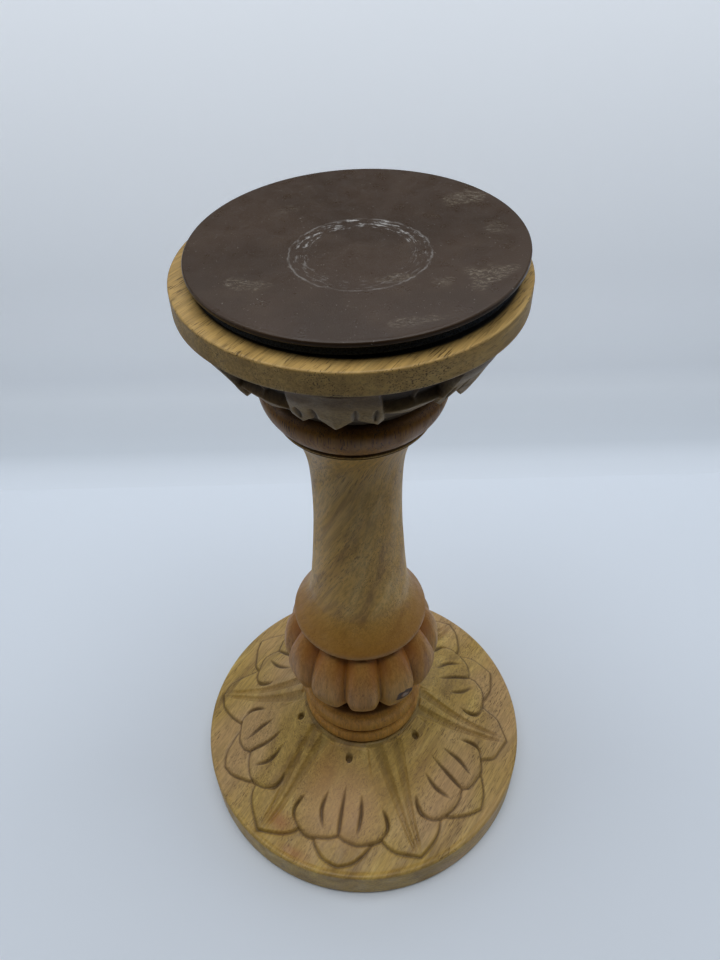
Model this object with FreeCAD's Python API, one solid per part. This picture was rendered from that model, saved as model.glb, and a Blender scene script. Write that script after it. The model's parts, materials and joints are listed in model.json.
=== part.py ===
# Carved wooden pedestal stand with a round top plate that swivels and tilts a little.
# Millimetres, +Z up. The origin is the centre of the felt under the base, on the surface
# that the stand rests on. -Y is the front, +X is to the right.
import FreeCAD, Part
import math
import os

Vector = FreeCAD.Vector
UP = Vector(0, 0, 1)
ORIGIN = Vector(0, 0, 0)

# Base
base_radius = 71.6
base_rim_height = 16.5      # height of the rounded edge
base_rim_round = 2.2
base_foot_round = 0.8
base_underside = 0.5        # the wood stays this far off the surface, on its felt
dome_rise = 23.0            # from the rim's height to the seat of the lower ring
dome_shoulder = 0.47        # how flat the outer part of the dome is
petal_count = 6
petal_relief = 0.9
leaf_relief = 0.45
petal_tip_margin = 13.3     # from the tips of the petals out to the side of the base
petal_notch = 2.3
petal_root_radius = 30.0
petal_shoulder = 11.0       # from the petal's tip in to where its scallops start
petal_crown = 0.42          # where the scallops are highest, as a share of the half width
petal_bulge = 0.78
petal_half_width = 18.6
leaf_tip_margin = 4.6
leaf_half_width = 12.2
front_petal_angle = -101.5  # the carving sits a little turned from the front
dot_radius = 1.5
dot_circle = 29.5
dot_depth = 3.0
felt_margin = 9.6           # from the felt out to the side of the base
felt_thickness = 1.5

# Turned rings
lower_ring_radius = 25.2
lower_ring_seat = 22.8      # radius of the flat faces above and below the bead
lower_ring_height = 8.8
upper_ring_radius = 25.7
upper_ring_seat = 21.7
upper_ring_height = 13.0

# Gadrooned bulb
gadroon_lobes = 12
front_lobe_angle = -90.0
gadroon_radius = 31.6
gadroon_height = 40.7
gadroon_foot_radius = 20.5
gadroon_top_radius = 23.0
gadroon_groove = 3.8        # depth of the grooves between lobes

# Shaft
shaft_height = 104.0
shaft_foot_radius = 23.8
shaft_bulge_radius = 25.6
shaft_neck_radius = 15.3
shaft_head_radius = 24.6

# Collar and carved bell
collar_radius = 28.4
collar_seat = 24.4
collar_height = 12.5
bell_height = 26.5
bell_foot_radius = 25.5
bell_top_setback = 1.6      # under the edge of the platter
bell_leaf_count = 12
bell_leaf_relief = 1.2
bell_leaf_spread = 0.86     # width of a leaf as a share of its room
bell_leaf_levels = (0.14, 0.55, 0.98)   # tip, widest and root of a leaf, as shares of the height

# Platter
platter_radius = 47.6
platter_thickness = 7.0
platter_edge_round = 1.0

# Tie rod that clamps the turned pieces together
rod_radius = 4.0
rod_clearance = 0.5
thread_clearance = 0.05
nut_across_flats = 13.0
nut_height = 6.5
washer_radius = 8.0
washer_thickness = 1.6
rod_end_past_nut = 1.5
base_pocket_radius = 12.0
base_pocket_room = 2.4      # from the rod's lower end to the felt
bell_pocket_radius = 12.5
rod_to_stud_gap = 2.0       # from the rod's upper end to the swivel's stud

# Dowels and screws
dowel_radius = 2.5
dowel_length = 9.0
dowel_circle = 13.0
dowel_clearance = 0.1
dowel_end_clearance = 0.25
screw_count = 4
screw_radius = 1.8
screw_head_radius = 3.6
screw_length = 20.0
screw_circle = 22.0
screw_clearance = 0.1

# Swivel and tilt fitting
fit_clearance = 0.1         # radial, in the bush and the tilt pin's hole
head_pocket_radius = 11.5
bush_flange_radius = 7.0
bush_flange_thickness = 1.0
bush_radius = 4.5
stud_radius = 3.0
friction_washer_radius = 6.5
friction_washer_thickness = 0.5
fork_base_radius = 6.4
fork_base_thickness = 1.2
cheek_thickness = 1.8
lug_thickness = 5.0
lug_side_clearance = 0.3
pin_radius = 1.1
pin_end_past_clip = 0.5
eye_wall = 0.7              # wall of the lug's eye round the pin
cheek_wall = 0.8            # wall of the fork's cheeks round the pin
eye_clearance = 0.4         # from the eye down to the fork's base, and the cheeks up to the flange
clip_wall = 0.8
clip_thickness = 0.5
spring_washer_radius = 6.2
spring_washer_thickness = 1.2
pivot_nut_across_flats = 10.0
pivot_nut_height = 4.8
stud_past_nut = 0.4

# Top plate and what hangs under it
plate_setback = 3.1         # from the plate's edge out to the platter's
plate_thickness = 1.5
plate_edge_round = 0.45
foam_setback = 1.2          # under the edge of the plate
foam_thickness = 2.7
foam_hole_radius = 12.5
foam_clearance = 0.3        # from the wood up to the foam's edge at full tilt
bracket_radius = 11.5
bracket_thickness = 1.0
tape_thickness = 0.4
plate_offset_x = 1.6        # the plate was stuck on a little off the swivel's axis
plate_offset_y = -0.1
rest_tilt = 1.5             # degrees, right side up
rest_turn = 15.0            # degrees that the pivot is swivelled from facing +X
full_tilt = 2.0             # degrees each way from level, where the foam meets the wood

# Radii that follow from others
petal_tip_radius = base_radius - petal_tip_margin
leaf_tip_radius = base_radius - leaf_tip_margin
felt_radius = base_radius - felt_margin
bell_top_radius = platter_radius - bell_top_setback
plate_radius = platter_radius - plate_setback
foam_radius = plate_radius - foam_setback
cheek_half_width = pin_radius + cheek_wall
eye_radius = pin_radius + eye_wall
clip_radius = pin_radius + clip_wall

# Depths of the pockets for the tie rod's ends
base_pocket_depth = washer_thickness + nut_height + rod_end_past_nut + base_pocket_room
stud_below_bell_top = spring_washer_thickness + pivot_nut_height + stud_past_nut
bell_pocket_depth = (stud_below_bell_top + rod_to_stud_gap + rod_end_past_nut
                     + nut_height + washer_thickness)

# Heights of the joints between the stacked pieces
base_top = base_rim_height + dome_rise
lower_ring_top = base_top + lower_ring_height
upper_ring_top = lower_ring_top + upper_ring_height
gadroon_top = upper_ring_top + gadroon_height
shaft_top = gadroon_top + shaft_height
collar_top = shaft_top + collar_height
bell_top = collar_top + bell_height
platter_top = bell_top + platter_thickness
seams = [base_top, lower_ring_top, upper_ring_top, gadroon_top, shaft_top, collar_top]

# Heights of the swivel and tilt fitting, from the level plate down
foam_reach = foam_radius + math.hypot(plate_offset_x, plate_offset_y)
foam_bottom = platter_top + foam_reach * math.sin(math.radians(full_tilt)) + foam_clearance
plate_bottom = foam_bottom + foam_thickness
flange_bottom = plate_bottom - tape_thickness - bracket_thickness
pin_height = flange_bottom - eye_clearance - cheek_half_width
fork_floor = pin_height - eye_radius - eye_clearance
fork_bottom = fork_floor - fork_base_thickness
bush_top = fork_bottom - friction_washer_thickness
pocket_floor = bush_top - bush_flange_thickness
cheek_inner = lug_thickness / 2 + lug_side_clearance
cheek_outer = cheek_inner + cheek_thickness


def polar(radius, degrees, z=0.0):
    angle = math.radians(degrees)
    return Vector(radius * math.cos(angle), radius * math.sin(angle), z)


def cylinder(radius, bottom, top, x=0.0, y=0.0):
    return Part.makeCylinder(radius, top - bottom, Vector(x, y, bottom), UP)


def hexagon(across_flats, bottom, top):
    corners = [polar(across_flats / math.sqrt(3), 60 * i, bottom) for i in range(7)]
    return Part.Face(Part.makePolygon(corners)).extrude(Vector(0, 0, top - bottom))


def turned(edges):
    # A solid of revolution from profile edges in the XZ plane, closed along the axis.
    first = edges[0].firstVertex().Point
    last = edges[-1].lastVertex().Point
    foot = Vector(0, 0, first.z)
    head = Vector(0, 0, last.z)
    closing = [line(last, head), line(head, foot), line(foot, first)]
    face = Part.Face(Part.Wire(edges + closing))
    return face.revolve(ORIGIN, UP, 360)


def line(start, end):
    return Part.LineSegment(start, end).toShape()


def arc(start, middle, end):
    return Part.Arc(start, middle, end).toShape()


def at(radius, z):
    return Vector(radius, 0, z)


def smooth(points):
    curve = Part.BSplineCurve()
    curve.interpolate(points)
    return curve.toShape()


def bead(radius, bottom, top, seat_radius):
    # A half-round turned ring whose flat faces are as wide as its seats.
    edge = arc(at(seat_radius, bottom), at(radius, (bottom + top) / 2), at(seat_radius, top))
    return turned([edge])


def dowels_at(seam_index, radius, length):
    # Two dowels through a seam. Each next seam's pair is turned by 90 degrees.
    seam = seams[seam_index]
    pair = []
    for side in (0, 180):
        spot = polar(dowel_circle, 90 * (seam_index % 2) + side)
        pair.append(cylinder(radius, seam - length / 2, seam + length / 2, spot.x, spot.y))
    return pair


def drilled(solid, *seam_indexes):
    # The tie rod's bore through the whole stack, and the dowel holes at the given seams.
    tools = [cylinder(rod_radius + rod_clearance, 0, bell_top)]
    for index in seam_indexes:
        tools += dowels_at(index, dowel_radius + dowel_clearance,
                           dowel_length + 2 * dowel_end_clearance)
    return solid.cut(tools)


def dome_height(radius):
    # The dome falls from the seat of the lower ring to the rounded rim.
    share = (radius - lower_ring_radius) / (base_radius - base_rim_round - lower_ring_radius)
    fall = (1 - share) ** 2 * (1 - dome_shoulder) + dome_shoulder * (1 - share)
    return base_rim_height + dome_rise * fall ** 1.25


def dome_edge(lift):
    reach = base_radius - base_rim_round - lower_ring_radius
    radii = [lower_ring_radius + reach * share for share in (1.0, 0.7, 0.45, 0.25, 0.1, 0.0)]
    return smooth([at(radius, dome_height(radius) + lift) for radius in radii])


def base_body(lift):
    # The turned base, or the same shape a little higher, from which the relief is cut.
    rim = base_radius - base_rim_round
    top = base_rim_height + lift
    diagonal = base_rim_round * math.sqrt(0.5)
    foot = base_radius - base_foot_round
    edges = [
        line(at(foot, base_underside), at(base_radius, base_underside + base_foot_round)),
        line(at(base_radius, base_underside + base_foot_round), at(base_radius, top - base_rim_round)),
        arc(at(base_radius, top - base_rim_round),
            at(rim + diagonal, top - base_rim_round + diagonal), at(rim, top)),
        dome_edge(lift),
    ]
    return turned(edges)


def petal_outline():
    # Two rounded scallops with a notch between them, narrowing to the root.
    tip = petal_tip_radius
    half = petal_half_width
    shoulder = tip - petal_shoulder
    side = tip - petal_shoulder * 0.6
    right = [(petal_root_radius, half * 0.24), (shoulder, half * 0.92), (side, half),
             (tip, half * petal_crown), (tip - petal_notch, 0)]
    root, waist, side, crown, notch = [Vector(x, y, 0) for x, y in right]
    hook = (waist + side) / 2 + Vector(0, 0.6, 0)
    lobe = Vector(tip - petal_notch, half * petal_bulge, 0)
    upper = [line(root, waist), arc(waist, hook, side), arc(side, lobe, crown), line(crown, notch)]
    lower = [edge.mirror(ORIGIN, Vector(0, 1, 0)) for edge in upper]
    lower.append(line(Vector(root.x, -root.y, 0), root))
    return Part.Face(Part.Wire(Part.__sortEdges__(upper + lower)))


def pointed_outline(start, widest, tip, half):
    # A pointed leaf: narrow at its start, widest further out, with arcs to the tip.
    root = Vector(start, 0, 0)
    left = Vector(widest, half, 0)
    right = Vector(widest, -half, 0)
    point = Vector(tip, 0, 0)
    bow = (widest + tip) / 2 + half * 0.12
    edges = [line(root, left), arc(left, Vector(bow, half * 0.66, 0), point),
             arc(point, Vector(bow, -half * 0.66, 0), right), line(right, root)]
    return Part.Face(Part.Wire(edges))


def relief(outline, lifted, angle):
    # The part of a slightly larger dome that lies over an outline.
    prism = outline.extrude(Vector(0, 0, base_top + 5))
    prism.rotate(ORIGIN, UP, angle)
    return prism.common(lifted)


def carved_base():
    body = base_body(0)
    low = base_body(leaf_relief)
    high = base_body(petal_relief)
    step = 360 / petal_count
    reliefs = []
    holes = []
    for i in range(petal_count):
        angle = front_petal_angle + step * i
        under = pointed_outline(petal_tip_radius - 12, petal_tip_radius - 2,
                                leaf_tip_radius, leaf_half_width)
        leaf = pointed_outline(lower_ring_radius + 2, petal_tip_radius - 1,
                               leaf_tip_radius, leaf_half_width)
        reliefs.append(relief(under, low, angle))
        reliefs.append(relief(leaf, low, angle + step / 2))
        reliefs.append(relief(petal_outline(), high, angle))
        spot = polar(dot_circle, angle)
        floor = dome_height(dot_circle) - dot_depth
        holes.append(cylinder(dot_radius, floor, base_top, spot.x, spot.y))
    body = body.fuse(reliefs)
    body = body.common(cylinder(base_radius, 0, base_top))
    body = body.cut(holes)
    recess = cylinder(felt_radius + fit_clearance, 0, felt_thickness)
    pocket = cylinder(base_pocket_radius, 0, felt_thickness + base_pocket_depth)
    return drilled(body.cut([recess, pocket]), 0)


def gadroon_section(z, radius, groove):
    # One level of the bulb: a closed ring of arcs with a groove between each two lobes.
    step = 360 / gadroon_lobes
    edges = []
    for i in range(gadroon_lobes):
        start = polar(radius - groove, front_lobe_angle + step * (i - 0.5), z)
        crest = polar(radius, front_lobe_angle + step * i, z)
        end = polar(radius - groove, front_lobe_angle + step * (i + 0.5), z)
        edges.append(arc(start, crest, end))
    return Part.Wire(edges)


def gadroon_bulb():
    # Share of the height, share of the way from the foot or top radius to the full one,
    # and depth of the grooves.
    levels = [(0.0, 0.0, 0.4), (0.1, 0.25, 0.6), (0.2, 0.52, 0.8), (0.35, 0.84, 1.0),
              (0.53, 1.0, 1.0), (0.72, 0.84, 0.9), (0.88, 0.48, 0.7), (1.0, 0.0, 0.4)]
    sections = []
    for height, fullness, depth in levels:
        end_radius = gadroon_foot_radius if height < 0.5 else gadroon_top_radius
        radius = end_radius + (gadroon_radius - end_radius) * fullness
        z = upper_ring_top + gadroon_height * height
        sections.append(gadroon_section(z, radius, gadroon_groove * depth))
    return drilled(Part.makeLoft(sections, True), 2, 3)


def turned_shaft():
    neck = shaft_neck_radius
    spread = shaft_bulge_radius - neck
    head = shaft_head_radius - neck
    # Height above the foot as a share of the shaft, and radius.
    outline = [(0.0, shaft_foot_radius), (0.035, shaft_bulge_radius), (0.08, neck + spread * 0.77),
               (0.14, neck + spread * 0.44), (0.20, neck + spread * 0.28),
               (0.36, neck + spread * 0.12), (0.56, neck), (0.76, neck + head * 0.02),
               (0.87, neck + head * 0.22), (0.95, neck + head * 0.62), (1.0, shaft_head_radius)]
    points = [at(radius, gadroon_top + shaft_height * share) for share, radius in outline]
    return drilled(turned([smooth(points)]), 3, 4)


def bell_radius(share):
    return bell_foot_radius + (bell_top_radius - bell_foot_radius) * share ** 0.7


def lotus_bell():
    # A cone that opens upwards, with pointed leaves standing proud of it all round.
    shares = (0.0, 0.1, 0.25, 0.45, 0.7, 1.0)
    profile = [at(bell_radius(s), collar_top + bell_height * s) for s in shares]
    body = turned([smooth(profile)])
    proud = turned([smooth([p + Vector(bell_leaf_relief, 0, 0) for p in profile])])
    half = bell_top_radius * math.sin(math.pi / bell_leaf_count) * bell_leaf_spread
    tip, widest, root = [collar_top + bell_height * level for level in bell_leaf_levels]
    start = bell_pocket_radius
    corners = [Vector(start, -half, root), Vector(start, -half, widest), Vector(start, 0, tip),
               Vector(start, half, widest), Vector(start, half, root)]
    leaves = []
    for i in range(bell_leaf_count):
        outline = Part.Face(Part.makePolygon(corners + corners[:1]))
        prism = outline.extrude(Vector(bell_top_radius, 0, 0))
        prism.rotate(ORIGIN, UP, front_petal_angle + 360 / bell_leaf_count * i)
        leaves.append(prism.common(proud))
    body = body.fuse(leaves)
    pocket = cylinder(bell_pocket_radius, bell_top - bell_pocket_depth, bell_top)
    holes = [screw_shape(i, screw_clearance) for i in range(screw_count)]
    return drilled(body.cut([pocket] + holes), 5)


def screw_shape(index, grow):
    spot = polar(screw_circle, 45 + 360 / screw_count * index)
    head_height = screw_head_radius - screw_radius
    shank = cylinder(screw_radius + grow, platter_top - screw_length - grow, platter_top, spot.x, spot.y)
    head = Part.makeCone(screw_radius + grow, screw_head_radius + grow, head_height,
                         Vector(spot.x, spot.y, platter_top - head_height), UP)
    return shank.fuse(head)


def platter():
    body = cylinder(platter_radius, bell_top, platter_top)
    body = body.makeFillet(platter_edge_round, body.Edges[0:1] + body.Edges[2:3])
    pocket = cylinder(head_pocket_radius, pocket_floor, platter_top)
    hole = cylinder(bush_radius, bell_top, platter_top)
    screws = [screw_shape(i, screw_clearance) for i in range(screw_count)]
    return body.cut([pocket, hole] + screws)


def ring(outer, inner, bottom, top):
    return cylinder(outer, bottom, top).cut(cylinder(inner, bottom, top))


def hex_nut(across_flats, bore_radius, bottom, top):
    return hexagon(across_flats, bottom, top).cut(cylinder(bore_radius, bottom, top))


def tie_rod_parts():
    low_face = felt_thickness + base_pocket_depth
    high_face = bell_top - bell_pocket_depth
    low_nut_top = low_face - washer_thickness
    high_nut_bottom = high_face + washer_thickness
    thread_hole = rod_radius + thread_clearance
    washers = [ring(washer_radius, thread_hole, low_nut_top, low_face),
               ring(washer_radius, thread_hole, high_face, high_nut_bottom)]
    nuts = [hex_nut(nut_across_flats, thread_hole, low_nut_top - nut_height, low_nut_top),
            hex_nut(nut_across_flats, thread_hole, high_nut_bottom, high_nut_bottom + nut_height)]
    rod = cylinder(rod_radius, low_nut_top - nut_height - rod_end_past_nut,
                   high_nut_bottom + nut_height + rod_end_past_nut)
    return rod, nuts, washers


def swivel_fork():
    # The stud that turns in the bush, with two cheeks that carry the tilt pin.
    stud = cylinder(stud_radius, bell_top - stud_below_bell_top, fork_bottom)
    plate = cylinder(fork_base_radius, fork_bottom, fork_floor)
    cheeks = []
    for low in (cheek_inner, -cheek_outer):
        slab = Part.makeBox(2 * cheek_half_width, cheek_thickness, pin_height - fork_floor,
                            Vector(-cheek_half_width, low, fork_floor))
        crown = Part.makeCylinder(cheek_half_width, cheek_thickness,
                                  Vector(0, low, pin_height), Vector(0, 1, 0))
        cheeks += [slab, crown]
    hole = Part.makeCylinder(pin_radius, 2 * cheek_outer, Vector(0, -cheek_outer, pin_height),
                             Vector(0, 1, 0))
    return stud.fuse([plate] + cheeks).cut(hole)


def tilt_pin():
    half = cheek_outer + clip_thickness + pin_end_past_clip
    return Part.makeCylinder(pin_radius, 2 * half, Vector(0, -half, pin_height), Vector(0, 1, 0))


def pin_clips():
    clips = []
    for low in (cheek_outer, -cheek_outer - clip_thickness):
        start = Vector(0, low, pin_height)
        disc = Part.makeCylinder(clip_radius, clip_thickness, start, Vector(0, 1, 0))
        clips.append(disc.cut(Part.makeCylinder(pin_radius, clip_thickness, start, Vector(0, 1, 0))))
    return clips


def plate_bracket():
    # A round flange under the plate with one lug that hangs on the tilt pin.
    flange = cylinder(bracket_radius, flange_bottom, flange_bottom + bracket_thickness)
    side = -lug_thickness / 2
    lug = Part.makeBox(2 * eye_radius, lug_thickness, flange_bottom - pin_height,
                       Vector(-eye_radius, side, pin_height))
    centre = Vector(0, side, pin_height)
    across = Vector(0, 1, 0)
    eye = Part.makeCylinder(eye_radius, lug_thickness, centre, across)
    hole = Part.makeCylinder(pin_radius + fit_clearance, lug_thickness, centre, across)
    return flange.fuse([lug, eye]).cut(hole)


def swivelled(shape):
    # The way the pivot faces at rest.
    shape = shape.copy()
    shape.rotate(ORIGIN, UP, rest_turn)
    return shape


def tilted(shape):
    # From level to the way the plate rests, about the pin's axis.
    shape = shape.copy()
    axis = polar(1, 90 + rest_turn)
    shape.rotate(Vector(0, 0, pin_height), axis, -rest_tilt)
    return shape


def top_plate():
    disc = cylinder(plate_radius, plate_bottom, plate_bottom + plate_thickness,
                    plate_offset_x, plate_offset_y)
    return disc.makeFillet(plate_edge_round, disc.Edges[0:1] + disc.Edges[2:3])


def foam_ring():
    foam = cylinder(foam_radius, foam_bottom, plate_bottom, plate_offset_x, plate_offset_y)
    return foam.cut(cylinder(foam_hole_radius, foam_bottom, plate_bottom))


def export(name, shapes):
    solids = []
    for shape in shapes if isinstance(shapes, list) else [shapes]:
        solids += shape.removeSplitter().Solids
    whole = solids[0] if len(solids) == 1 else Part.makeCompound(solids)
    assert all(solid.isValid() for solid in solids), name
    whole.exportStep("parts/%s.step" % name)
    print("%-18s %3d solids %10.1f mm3" % (name, len(solids), sum(s.Volume for s in solids)))


def main():
    os.makedirs("parts", exist_ok=True)
    rod, nuts, washers = tie_rod_parts()
    dowels = []
    for index in range(len(seams)):
        dowels += dowels_at(index, dowel_radius, dowel_length)

    export("base_felt", cylinder(felt_radius, 0, felt_thickness))
    export("carved_base", carved_base())
    export("lower_ring", drilled(bead(lower_ring_radius, base_top, lower_ring_top,
                                      lower_ring_seat), 0, 1))
    export("upper_ring", drilled(bead(upper_ring_radius, lower_ring_top, upper_ring_top,
                                      upper_ring_seat), 1, 2))
    export("gadroon_bulb", gadroon_bulb())
    export("turned_shaft", turned_shaft())
    export("upper_collar", drilled(bead(collar_radius, shaft_top, collar_top,
                                        collar_seat), 4, 5))
    export("lotus_bell", lotus_bell())
    export("platter", platter())
    export("tie_rod", rod)
    export("tie_rod_nuts", nuts)
    export("tie_rod_washers", washers)
    export("locating_dowels", dowels)
    export("platter_screws", [screw_shape(i, 0) for i in range(screw_count)])

    barrel = cylinder(bush_radius, bell_top, pocket_floor)
    flange = cylinder(bush_flange_radius, pocket_floor, bush_top)
    bore = cylinder(stud_radius + fit_clearance, bell_top, bush_top)
    export("pivot_bush", barrel.fuse(flange).cut(bore))
    export("friction_washer", ring(friction_washer_radius, stud_radius + fit_clearance,
                                   bush_top, fork_bottom))
    export("swivel_fork", swivelled(swivel_fork()))
    spring_bottom = bell_top - spring_washer_thickness
    export("spring_washer", ring(spring_washer_radius, stud_radius + thread_clearance,
                                 spring_bottom, bell_top))
    export("pivot_nut", hex_nut(pivot_nut_across_flats, stud_radius + thread_clearance,
                                spring_bottom - pivot_nut_height, spring_bottom))
    export("tilt_pin", swivelled(tilt_pin()))
    export("pin_clips", [swivelled(clip) for clip in pin_clips()])

    export("plate_bracket", tilted(swivelled(plate_bracket())))
    export("mounting_tape", tilted(cylinder(bracket_radius, plate_bottom - tape_thickness,
                                            plate_bottom)))
    export("foam_ring", tilted(foam_ring()))
    export("top_plate", tilted(top_plate()))
    level_top = plate_bottom + plate_thickness
    print("tilt pin at %.3f mm, top of the level plate at %.3f mm" % (pin_height, level_top))
    print("tilt from rest %.1f to %.1f degrees" % (-full_tilt - rest_tilt, full_tilt - rest_tilt))


main()
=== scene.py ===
import bpy
import json
import math
import numpy as np
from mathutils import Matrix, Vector


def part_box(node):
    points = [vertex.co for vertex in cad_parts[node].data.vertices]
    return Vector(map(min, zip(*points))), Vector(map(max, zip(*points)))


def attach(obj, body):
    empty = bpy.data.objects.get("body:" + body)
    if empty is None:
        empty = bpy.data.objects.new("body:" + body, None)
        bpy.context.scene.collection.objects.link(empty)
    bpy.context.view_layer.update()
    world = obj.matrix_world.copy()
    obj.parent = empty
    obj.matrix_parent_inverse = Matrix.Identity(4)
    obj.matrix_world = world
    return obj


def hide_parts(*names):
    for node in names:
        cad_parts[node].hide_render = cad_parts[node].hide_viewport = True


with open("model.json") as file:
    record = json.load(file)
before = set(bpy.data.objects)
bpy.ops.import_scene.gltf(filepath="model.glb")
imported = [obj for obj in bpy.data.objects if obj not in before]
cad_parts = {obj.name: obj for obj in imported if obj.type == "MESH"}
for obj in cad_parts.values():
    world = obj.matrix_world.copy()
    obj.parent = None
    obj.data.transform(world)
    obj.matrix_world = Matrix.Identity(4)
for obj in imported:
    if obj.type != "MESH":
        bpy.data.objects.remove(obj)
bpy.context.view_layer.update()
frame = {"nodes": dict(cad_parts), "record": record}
mm = 0.001
petalAngle = -101.5  # the carved petal nearest the front, degrees
petalStep = 60.0


def topOf(node):
    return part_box(node)[1][2] / mm


def bottomOf(node):
    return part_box(node)[0][2] / mm


def halfWidthOf(node):
    low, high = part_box(node)
    return (high[0] - low[0]) / 2 / mm


def smoothStep(value, low, high):
    t = np.clip((value - low) / (high - low), 0.0, 1.0)
    return t * t * (3 - 2 * t)


def mix(a, b, share):
    return a + (b - a) * share


def smoothCurve(points, perSpan):
    # Catmull-Rom curve through the given points
    pts = np.array(points, float)
    pts = np.vstack([2 * pts[0] - pts[1], pts, 2 * pts[-1] - pts[-2]])
    out = []
    for i in range(1, len(pts) - 2):
        p0, p1, p2, p3 = pts[i - 1:i + 3]
        for t in np.arange(perSpan) / perSpan:
            out.append(0.5 * (2 * p1 + (p2 - p0) * t + (2 * p0 - 5 * p1 + 4 * p2 - p3) * t ** 2
                              + (3 * p1 - p0 - 3 * p2 + p3) * t ** 3))
    out.append(pts[-2])
    return np.array(out)


def insideDistance(x, y, outline):
    # Signed distance to a closed outline, positive inside
    nearest = np.full(x.shape, 1e9)
    inside = np.zeros(x.shape, bool)
    for (ax, ay), (bx, by) in zip(outline, np.roll(outline, -1, axis=0)):
        dx, dy = bx - ax, by - ay
        length2 = dx * dx + dy * dy + 1e-12
        t = np.clip(((x - ax) * dx + (y - ay) * dy) / length2, 0, 1)
        nearest = np.minimum(nearest, (x - ax - t * dx) ** 2 + (y - ay - t * dy) ** 2)
        crosses = (ay > y) != (by > y)
        inside ^= crosses & (x < ax + (y - ay) * dx / (dy if abs(dy) > 1e-12 else 1e-12))
    return np.where(inside, 1, -1) * np.sqrt(nearest)


def cutStroke(x, y, points, width, depth):
    # A gouge cut along a curve: deepest and widest in its middle, tapering to both ends
    line = smoothCurve(points, 6)
    best = np.full(x.shape, 1e9)
    where = np.zeros(x.shape)
    total = len(line) - 1
    for i in range(total):
        (ax, ay), (bx, by) = line[i], line[i + 1]
        dx, dy = bx - ax, by - ay
        t = np.clip(((x - ax) * dx + (y - ay) * dy) / (dx * dx + dy * dy + 1e-12), 0, 1)
        d = np.hypot(x - ax - t * dx, y - ay - t * dy)
        closer = d < best
        best = np.where(closer, d, best)
        where = np.where(closer, (i + t) / total, where)
    taper = np.clip(np.sin(np.pi * np.clip(where, 0.02, 0.98)), 0, 1) ** 0.5
    return depth * taper * np.clip(1 - best / (width / 2 * taper + 0.15), 0, 1)


def handWaves(u, v, seed, size, amount):
    # Low, uneven swells left by hand scraping and sanding
    rng = np.random.default_rng(seed)
    total = np.zeros(np.broadcast(u, v).shape)
    for _ in range(7):
        angle = rng.uniform(0, np.pi)
        length = size * rng.uniform(0.6, 1.6)
        phase = rng.uniform(0, 2 * np.pi)
        total += np.sin(2 * np.pi * (u * np.cos(angle) + v * np.sin(angle)) / length + phase)
    return total * amount / 3


def anglesRound(columns):
    # Direction of each column of a round grid, in radians
    return np.arange(columns) * 2 * np.pi / columns


def makePiece(name, vertices, faces, material, body, nodes, attributes=None):
    mesh = bpy.data.meshes.new(name)
    mesh.from_pydata((np.asarray(vertices) * mm).tolist(), [], faces)
    mesh.validate()
    mesh.polygons.foreach_set("use_smooth", [True] * len(mesh.polygons))
    for key, values in (attributes or {}).items():
        layer = mesh.attributes.new(key, "FLOAT", "POINT")
        layer.data.foreach_set("value", np.asarray(values, np.float32))
    mesh.update()
    piece = bpy.data.objects.new(name, mesh)
    bpy.context.scene.collection.objects.link(piece)
    piece.data.materials.append(material)
    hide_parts(*nodes)
    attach(piece, body)
    print("piece", name, len(faces), "faces")
    return piece


def roundGrid(radius, height):
    # Vertices and faces of a round surface. radius and height are arrays of [profile point,
    # direction]; the profile runs so that the solid lies on the axis side, from the foot up
    rows, columns = radius.shape
    angle = anglesRound(columns)
    points = np.stack([radius * np.cos(angle), radius * np.sin(angle), height], axis=-1)
    index = np.arange(rows * columns).reshape(rows, columns)
    right = np.roll(index, -1, axis=1)
    faces = np.stack([index[:-1], right[:-1], right[1:], index[1:]], axis=-1).reshape(-1, 4)
    return points.reshape(-1, 3), faces.tolist(), index


def linear(hexCode):
    channels = [int(hexCode[i:i + 2], 16) / 255 for i in (1, 3, 5)]
    return [c / 12.92 if c <= 0.04045 else ((c + 0.055) / 1.055) ** 2.4 for c in channels] + [1.0]


def addNode(tree, kind, settings=None, links=None, **values):
    # One node with its settings, socket values and incoming links
    node = tree.nodes.new(kind)
    for key, value in (settings or {}).items():
        setattr(node, key, value)
    for key, value in values.items():
        node.inputs[key.replace("_", " ")].default_value = value
    for key, socket in (links or {}).items():
        tree.links.new(socket, node.inputs[key])
    return node


def newMaterial(name, roughness, **surface):
    material = bpy.data.materials.new(name)
    material.use_nodes = True
    tree = material.node_tree
    shader = tree.nodes["Principled BSDF"]
    shader.inputs["Roughness"].default_value = roughness
    for key, value in surface.items():
        shader.inputs[key.replace("_", " ")].default_value = value
    return material, tree, shader


def ramp(tree, source, stops, smooth=True):
    node = addNode(tree, "ShaderNodeValToRGB", links={"Fac": source})
    elements = node.color_ramp.elements
    node.color_ramp.interpolation = "EASE" if smooth else "LINEAR"
    while len(elements) < len(stops):
        elements.new(0.5)
    for element, (position, color) in zip(elements, stops):
        element.position = position
        element.color = linear(color) if isinstance(color, str) else [color] * 3 + [1.0]
    return node.outputs["Color"]


def tint(tree, base, color, share, blend="MIX"):
    # base colour with color laid over it by share, a socket or a number
    node = addNode(tree, "ShaderNodeMix", {"data_type": "RGBA", "blend_type": blend})
    for index, value in ((0, share), (6, base), (7, color)):
        if isinstance(value, bpy.types.NodeSocket):
            tree.links.new(value, node.inputs[index])
        else:
            node.inputs[index].default_value = value
    return node.outputs[2]


woodGrain = {
    # length along the fibres and width across them, mm
    "figure": (70.0, 9.0),
    "cloud": (60.0, 34.0),
    "fibre": (26.0, 0.9),
    "pore": (4.2, 0.34),  # drawn about twice as wide as they are, so that they show
    "poreCrowd": (40.0, 7.0),
    "streak": (90.0, 4.5),
    "streakRegion": (55.0, 20.0),
    "gloss": (20.0, 5.0),
}


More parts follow.
